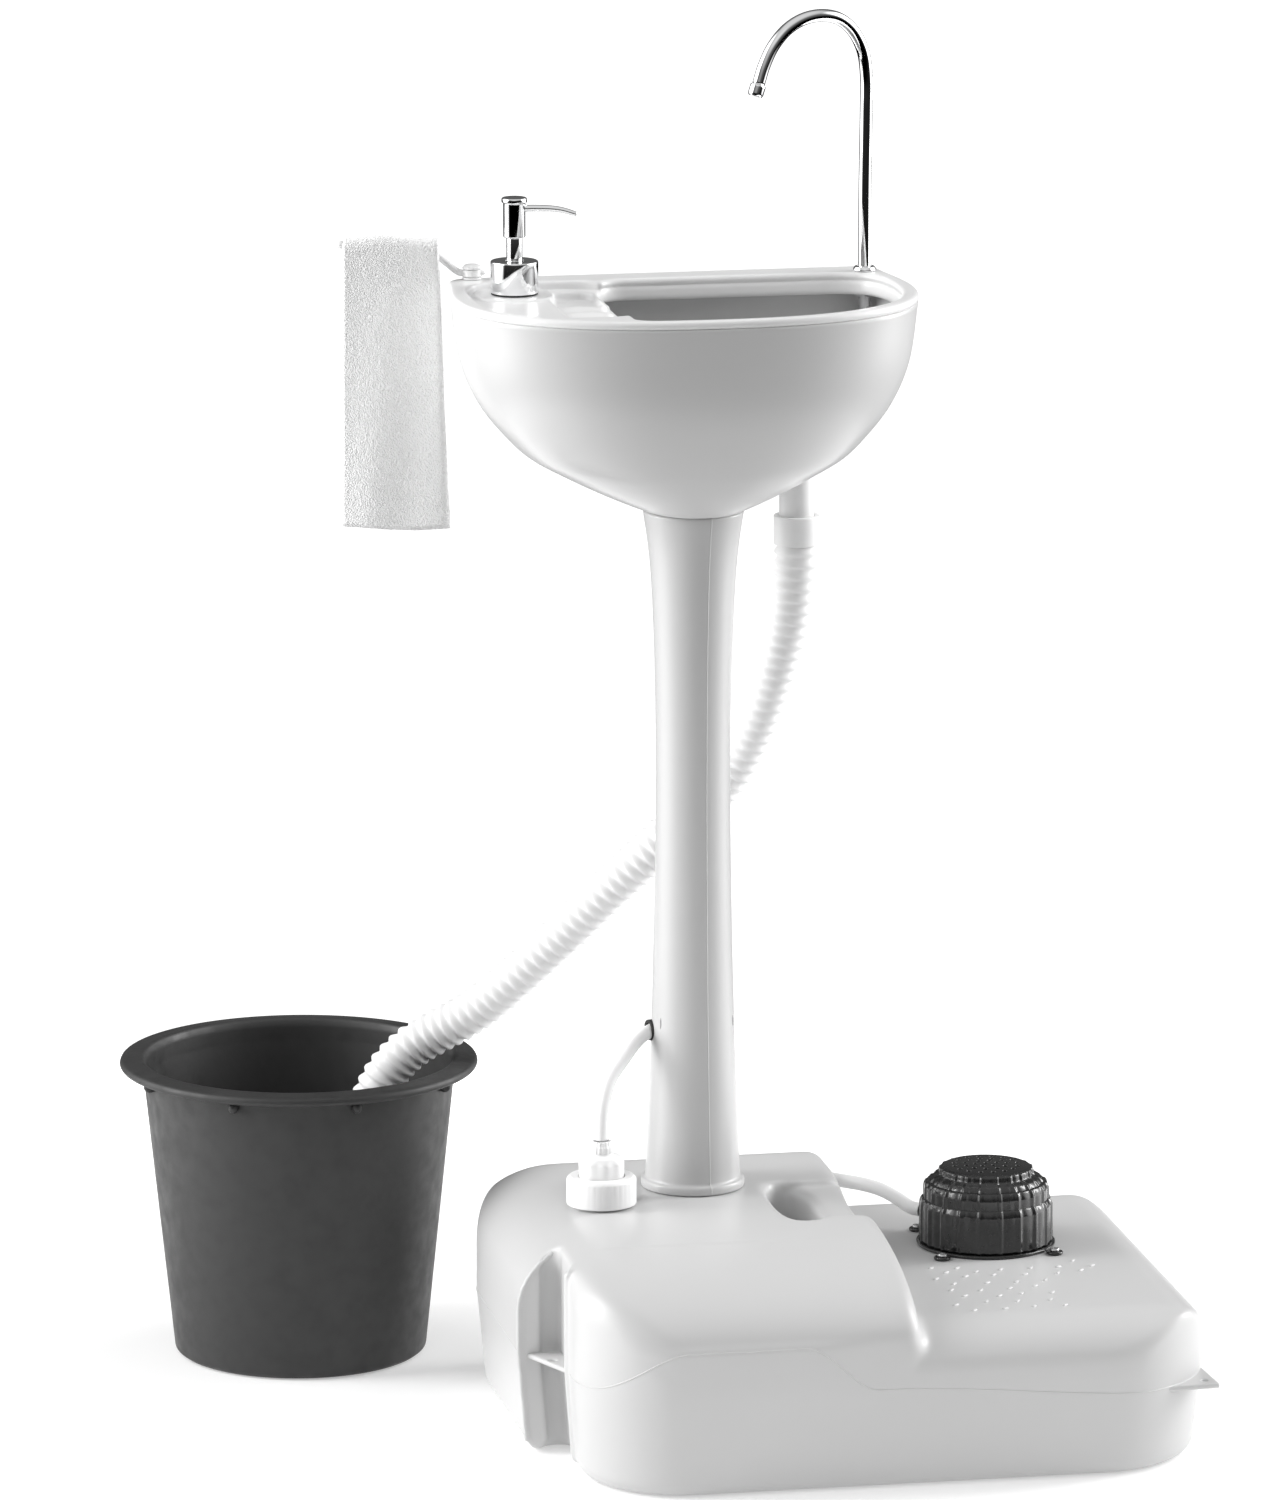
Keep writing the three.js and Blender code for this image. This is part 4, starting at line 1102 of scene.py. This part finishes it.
def make_pump():
    at = (*PUMP_AT, PUMP_BASE)
    black, around = (PUMP_BLACK, "pump_black"), PUMP_RIBS * 16
    lower = [(57, 3.4), (62.9, 3.4), (62.7, 40), (60.5, 45), (58, 45.8), (57, 45.8), (57, 3.4)]
    lathe("pump_skirt_lower_ribbed", "pump_skirt_lower", ROOT, *black, lower, 2.4, around, at, ribs(2, 60), 6)
    middle = [(53, 32), (59.4, 32), (59.3, 56), (57.2, 60.8), (54.9, 61.4), (53, 61.4), (53, 32)]
    lathe("pump_skirt_middle_ribbed", "pump_skirt_middle", "pump_middle", *black, middle, 2.6, around, at,
          ribs(30, 80, 1.8), 6)
    tread = [(30, 50.5), (55.2, 50.5), (55, 58), (53.4, 62.5), (50.5, 65.6), (46.2, 67.8), (44.8, 69.2),
             (44.4, 73.4), (42.5, 75), (30, 75.5)]
    lathe("pump_tread_ribbed", "pump_tread_cap", "pump_tread", *black, tread, 1.8, around, at,
          ribs(48, 76, 1.8), 6)
    make_tread_disc(at)


def make_tread_disc(at):
    """The domed top with its pattern of small drain holes."""
    holes = [(0.0, 0.0)]
    for ring, (radius, count) in enumerate(((10.5, 6), (20, 11), (30.5, 16))):
        for i in range(count):
            angle = (i + 0.5 * (ring % 2)) * 2 * math.pi / count + 0.2 * ring
            holes.append((radius * math.cos(angle), radius * math.sin(angle)))

    def disc(x, y, z):
        out = np.hypot(x, y)
        dome = z - (77.9 - 2.6 * (out / 42) ** 2)
        solid = soft_max(soft_max(out - 42.3, dome, 2.2), 71 - z, 1)
        nearest = np.full(np.shape(x), np.inf)
        for hx, hy in holes:
            nearest = np.minimum(nearest, np.hypot(x - hx, y - hy))
        pit = soft_max(nearest - 2.3, 74.2 - z, 0.8)
        return soft_max(solid, -pit, 0.8)

    axes = (even(-44, 44, 0.8), even(-44, 44, 0.8), even(69.5, 79.5, 0.7))
    obj = skin("pump_tread_disc", disc, axes, relax=1)
    for vertex in obj.data.vertices:
        vertex.co += Vector(at) * MM
    piece(obj, "pump_tread", PUMP_BLACK, "pump_black")


def make_flange():
    """A thin plate whose four lugs take the screws."""
    corner = SCREW_CIRCLE / math.sqrt(2)

    def plate(x, y, z):
        waist = np.hypot(x, y) - 66
        lugs = np.hypot(np.abs(x) - corner, np.abs(y) - corner) - 8
        flat = soft_min(lugs, waist, 6)
        return soft_max(flat, np.abs(z - 1.6) - 1.5, 1.4)

    axes = (even(-74, 74, 1.2), even(-74, 74, 1.2), even(-1, 4.5, 0.7))
    obj = skin("pump_flange_plate", plate, axes, relax=1)
    for vertex in obj.data.vertices:
        vertex.co += Vector((*PUMP_AT, PUMP_BASE)) * MM
    piece(obj, ROOT, PUMP_BLACK, "pump_black", "pump_flange")


def make_pump_screws():
    """Pan-head screws with a cross recess."""
    def screw(x, y, z):
        out = np.hypot(x, y)
        head = soft_max(out - 4.6, z - 6.1 + 0.12 * out * out / 4.6, 1.0)
        head = soft_max(head, 3.3 - z, 0.6)
        side, end = np.abs(x), np.abs(y)
        cross = np.minimum(np.maximum(side - 0.6, end - 2.2), np.maximum(end - 0.6, side - 2.2))
        return soft_max(head, -np.maximum(cross, 4.6 - z), 0.3)

    axes = (even(-5.4, 5.4, 0.36), even(-5.4, 5.4, 0.36), even(2.4, 7, 0.36))
    for i in range(4):
        angle = math.pi / 4 + i * math.pi / 2
        obj = skin(f"pump_screw_head_{i + 1}", screw, axes, relax=1)
        x, y = SCREW_CIRCLE * math.cos(angle), SCREW_CIRCLE * math.sin(angle)
        shift = Vector((PUMP_AT[0] + x, PUMP_AT[1] + y, PUMP_BASE))
        for vertex in obj.data.vertices:
            vertex.co += shift * MM
        piece(obj, ROOT, STEEL, "steel", f"pump_screw_{i + 1}")


def make_air_fittings():
    """The pump's outlet barb and the nipple in the tank's step."""
    start = np.array(AIR_ROUTE[0]) / MM
    back = np.array([math.cos(math.radians(-45)), math.sin(math.radians(-45)), 0])
    barb = cuff("pump_outlet_barb_stem", start + back * 14, start + back * 0.4, 3.6, 6)
    piece(barb, ROOT, PUMP_BLACK, "pump_black", "pump_outlet_barb")
    nipple = np.array(AIR_ROUTE[-1]) / MM
    heading = -np.array([math.cos(math.radians(-44)), math.sin(math.radians(-44)), 0])
    stem = cuff("air_nipple_stem", nipple + heading * 0.4, nipple + heading * 14, 3.6, 5.7)
    piece(stem, ROOT, WHITE_PLASTIC, "white_plastic", "air_nipple")


make_pump()
make_flange()
make_pump_screws()
make_air_fittings()


# ---------------------------------------------------------------- tap

SPOUT = [
    (0, 1062.2), (0, 1140), (-1, 1215), (-1, 1246), (3, 1271), (14, 1291), (29, 1303), (47, 1307.5),
    (67, 1305.5), (85, 1297), (100, 1282), (110, 1264), (116, 1247),
]


def make_tap():
    x, y = TAP_AT
    route = [(x - 0.95 * reach, y - 0.31 * reach, z) for reach, z in SPOUT]
    path = smooth_route(route, 2.5)
    piece(tube("tap_spout_tube", path, 6.0, sides=40), "tap", CHROME, "chrome", "faucet_spout")
    tip, heading = path[-1], path[-1] - path[-2]
    profile = soften([(4, 0.4), (7.0, 0.4), (7.4, 1.6), (7.4, 9.0), (6.4, 11.6), (4, 11.6), (4, 0.4)], 0.7)
    points, faces = revolve(profile, even_angles(64))
    sleeve = add_mesh("tap_nozzle_sleeve", turn_to(points, heading) + tip, faces)
    piece(tidy(sleeve), "tap", CHROME, "chrome", "faucet_nozzle")
    collar = [(6.7, 1061.8), (11, 1061.8), (11, 1063.4), (9.4, 1066), (6.7, 1066.4), (6.7, 1061.8)]
    lathe("tap_collar", "faucet_ferrule", ROOT, CHROME, "chrome", collar, 0.7, 72, (x, y, 0))


make_tap()


# ---------------------------------------------------------------- soap pump

SOAP_BASE = 1055.0


def make_soap_pump():
    at = (*SOAP_AT, SOAP_BASE)
    collar = [(8.6, 1.8), (22.4, 1.8), (22.4, 31), (21.4, 32), (8.6, 32), (8.6, 1.8)]
    lathe("soap_collar_shell", "soap_collar", ROOT, CHROME, "chrome", collar, 0.8, 128, at)
    shaft = [(0, -14), (3.5, -14), (3.5, 16), (7.5, 16), (7.5, 53.4), (6.8, 53.8), (0, 53.8)]
    lathe("soap_plunger_shaft", "soap_shaft", "soap_plunger", CHROME, "chrome", shaft, 0.5, 72, at)
    head = soften([
        (0, 54.1), (9.8, 54.1), (10.4, 54.8), (10.4, 86.2), (11.8, 87), (12, 88.2), (12, 90.3), (11.2, 91.4),
        (0, 92),
    ], 0.5)
    spout = smooth_route([(6, -1, 81), (20, -4, 81.3), (33, -6.6, 81), (42, -8.6, 80), (50, -10.4, 78),
                          (57, -12, 75.6)], 1.2)
    radii = np.interp(np.linspace(0, 1, len(spout)), [0, 0.5, 0.93, 1], [3.3, 3.0, 2.4, 2.2])
    parts = [revolve(head, even_angles(96), at=at), sweep(spout + np.array(at), radii, sides=28)]
    piece(merged("soap_head_and_spout", parts), "soap_spout", CHROME, "chrome", "soap_head")


make_soap_pump()


# ---------------------------------------------------------------- springs

def make_spring(name, node, at, radius, wire, low, high, turns):
    """A coil of wire rising from its foot, with a mesh of its own."""
    angles = np.linspace(0, 2 * math.pi * turns, turns * 24 + 1)
    heights = np.linspace(low, high, len(angles))
    path = np.stack([radius * np.cos(angles), radius * np.sin(angles), heights], axis=1) + np.array(at)
    spring = piece(tube(name, path, wire, sides=12), ROOT, STEEL, "steel", node)
    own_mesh(spring)


make_spring("pump_spring_coil", "pump_spring", (*PUMP_AT, PUMP_BASE),
            radius=22, wire=1.6, low=9, high=67.5, turns=5)
make_spring("soap_spring_coil", "soap_spring", (*SOAP_AT, SOAP_BASE),
            radius=6.2, wire=0.9, low=-20, high=14.7, turns=6)


# ---------------------------------------------------------------- towel rail and towel

ARM_PIVOT = np.array([-185.0, 138.0, 0.0])
ARM_LEVEL = 1090.0
ARM_LEAN = math.radians(-11.5)
ARM = [
    (13, 1067.5), (0, 1067.5), (-11.5, 1067.9), (-24, 1077), (-37, 1087), (-48, 1090), (-80, 1090.5),
    (-118, 1092), (-127, 1096),
]


def by_arm(points):
    """Points in the arm's own frame, along X, put in their place."""
    c, s = math.cos(ARM_LEAN), math.sin(ARM_LEAN)
    turn = np.array([[c, -s, 0], [s, c, 0], [0, 0, 1]])
    return np.asarray(points) @ turn.T + ARM_PIVOT


def make_towel_arm():
    path = smooth_route([(x, 0, z) for x, z in ARM], 2.0)
    radii = np.full(len(path), 3.2)
    radii[:4] = [0.6, 2.0, 2.8, 3.1]
    radii[-4:] = [3.6, 4.0, 3.4, 1.2]
    points, faces = sweep(path, radii, sides=28)
    eye_profile = [(2.8, 1064.2), (8.5, 1064.2), (8.5, 1070.8), (2.8, 1070.8), (2.8, 1064.2)]
    eye = revolve(soften(eye_profile, 0.9), even_angles(64))
    arm = merged("towel_arm_rod", [(by_arm(points), faces), (by_arm(eye[0]), eye[1])])
    piece(arm, "towel_rail", WHITE_PLASTIC, "white_plastic", "towel_arm")
    at = tuple(ARM_PIVOT)
    white = (WHITE_PLASTIC, "white_plastic")

    def flutes(angle, height):
        return -0.35 * (0.5 + 0.5 * np.cos(16 * angle))

    knob = [(0, 1071.3), (9, 1071.3), (9, 1073.6), (6.4, 1075.6), (0, 1076.3)]
    lathe("towel_arm_cap", "towel_arm_knob", ROOT, *white, knob, 0.9, 96, at, flutes)
    spacer = [(2.6, 1061.8), (9, 1061.8), (9, 1063.8), (2.6, 1063.8), (2.6, 1061.8)]
    lathe("towel_arm_washer", "towel_arm_spacer", ROOT, *white, spacer, 0.5, 72, at)


LAYER_GAP = 2.7
FOLD_WIDTH = 88.0


def fold_line(count):
    """Across the towel: three layers, folded back and forth. Gives the place along the arm and the layer's
    height above the innermost one."""
    radius = LAYER_GAP / 2
    turn = [(radius * math.sin(a), radius * (1 - math.cos(a))) for a in np.linspace(0, math.pi, 7)]
    outer = [(FOLD_WIDTH, 0)] + [(dx * 1.6, dz) for dx, dz in turn]
    line = [(FOLD_WIDTH * 0.96, 0.0), (FOLD_WIDTH * 0.5, 0.0), (4, 0.0)]
    line += [(2 - dx * 1.6, dz) for dx, dz in turn]
    line += [(FOLD_WIDTH * 0.5, LAYER_GAP), (FOLD_WIDTH - 4, LAYER_GAP)]
    line += [(FOLD_WIDTH - 2 + dx * 1.6, LAYER_GAP + dz) for dx, dz in outer[1:]]
    line += [(FOLD_WIDTH * 0.5, 2 * LAYER_GAP), (1.0, 2 * LAYER_GAP)]
    line = respace(line, 1)
    pick = np.linspace(0, len(line) - 1, count)
    return np.stack([np.interp(pick, np.arange(len(line)), column) for column in line.T], axis=1)


def make_towel():
    """A hand towel folded in three along its length and hung in half over the arm."""
    across = fold_line(150)
    front_drop, back_drop = 268.0, 262.0
    bend = 4.6
    down = np.concatenate([np.linspace(-front_drop, -bend, 120), np.linspace(-bend, bend, 19)[1:-1],
                           np.linspace(bend, back_drop, 110)])
    rng = np.random.default_rng(7)
    phases = rng.uniform(0, 2 * math.pi, 12)
    rows = []
    for t in down:
        drop = max(abs(t) - bend, 0) / front_drop
        angle = math.pi / 2 * np.clip(t / bend, -1, 1)
        side = np.sign(t) if abs(t) > bend else math.sin(angle)
        height = across[:, 1]
        radius = bend + height
        out = radius * math.sin(angle)
        lift = radius * math.cos(angle)
        layer = height / (2 * LAYER_GAP)
        spread = 1 + 0.13 * drop * (1 - 0.25 * layer)
        x = -121 + across[:, 0] * spread - 2.0 * drop
        x = x + drop ** 2 * (7.5 * (1 - layer)) * (across[:, 0] / FOLD_WIDTH)
        ripple = (2.1 * np.sin(across[:, 0] * 0.052 + phases[0] + t * 0.004)
                  + 1.2 * np.sin(across[:, 0] * 0.11 + phases[1] - t * 0.011)) * drop ** 0.8
        sag = 1.3 * np.sin((across[:, 0] / FOLD_WIDTH) * math.pi * 2.4 + phases[2])
        z = ARM_LEVEL + 1 + lift - max(abs(t) - bend, 0) + sag * (1 - drop)
        z = z + 1.6 * np.sin(across[:, 0] * 0.06 + phases[3]) * drop
        z = z - 3.5 * drop * (1 - layer)
        y = out + side * 0.2 * height * drop + ripple * 0.75 + side * 2.2 * drop
        rows.append(np.stack([x, y, z], axis=1))
    count = len(across)
    points = np.array(rows).reshape(-1, 3)
    faces = [(k * count + i, k * count + i + 1, (k + 1) * count + i + 1, (k + 1) * count + i)
             for k in range(len(rows) - 1) for i in range(count - 1)]
    towel = add_mesh("towel_folded", by_arm(points), faces)
    solid = towel.modifiers.new("thickness", "SOLIDIFY")
    solid.thickness = 1.7 * MM
    solid.offset = 0
    rough = towel.modifiers.new("pile", "DISPLACE")
    pattern = bpy.data.textures.new("pile", "CLOUDS")
    pattern.noise_scale = 0.004
    rough.texture = pattern
    rough.strength = 0.9 * MM
    rough.mid_level = 0.5
    piece(towel, "towel_rail", TERRY, "terry", "towel")


make_towel_arm()
make_towel()


# ---------------------------------------------------------------- bucket

BUCKET_AT = (-338.0, 248.0)


def make_bucket():
    outer = [
        (0, 0), (116, 0), (121.5, 4), (149.5, 270), (150.2, 279), (160, 280.8), (169, 281.4), (171.8, 283),
        (172.8, 286), (171, 289.6), (167, 290.6), (158, 291.4), (152.5, 292), (149.4, 290.4),
    ]
    inner = [(147.4, 285), (146.8, 270), (119.4, 9), (115, 5.5), (0, 5)]
    profile = soften(outer + inner, 2.2, steps=4)
    parts = [revolve(profile, even_angles(180), at=(*BUCKET_AT, 0))]
    for i in range(8):
        angle = math.radians(12) + i * math.pi / 4
        ray = np.array([math.cos(angle), math.sin(angle), 0])
        side = np.array([-ray[1], ray[0], 0])
        at = np.array([*BUCKET_AT, 0]) + ray * 153.0 + np.array([0, 0, 274.5])
        path = at + np.linspace(-1, 1, 9)[:, None] * side * 4.5
        parts.append(sweep(path, [2.2, 4.2, 5.4, 6, 6, 6, 5.4, 4.2, 2.2], sides=14))
    piece(merged("bucket_body", parts), ROOT, BUCKET_GREY, "bucket_grey", "bucket")


make_bucket()


# ---------------------------------------------------------------- CAD nodes that stay

KEPT = {
    "cap_seal": RUBBER, "dip_tube": CLEAR, "pump_valve": RUBBER, "drain_gasket": RUBBER,
    "drain_nut": WHITE_PLASTIC, "faucet_washer": RUBBER, "faucet_nut": STEEL, "faucet_tail": STEEL,
    "soap_gasket": RUBBER, "soap_lock_nut": WHITE_PLASTIC, "soap_bottle": CLEAR,
    "soap_dip_tube": CLEAR, "towel_arm_nut": STEEL,
}
for node, look in KEPT.items():
    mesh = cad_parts[node].data
    mesh.materials.clear()
    mesh.materials.append(look)

bpy.context.view_layer.update()
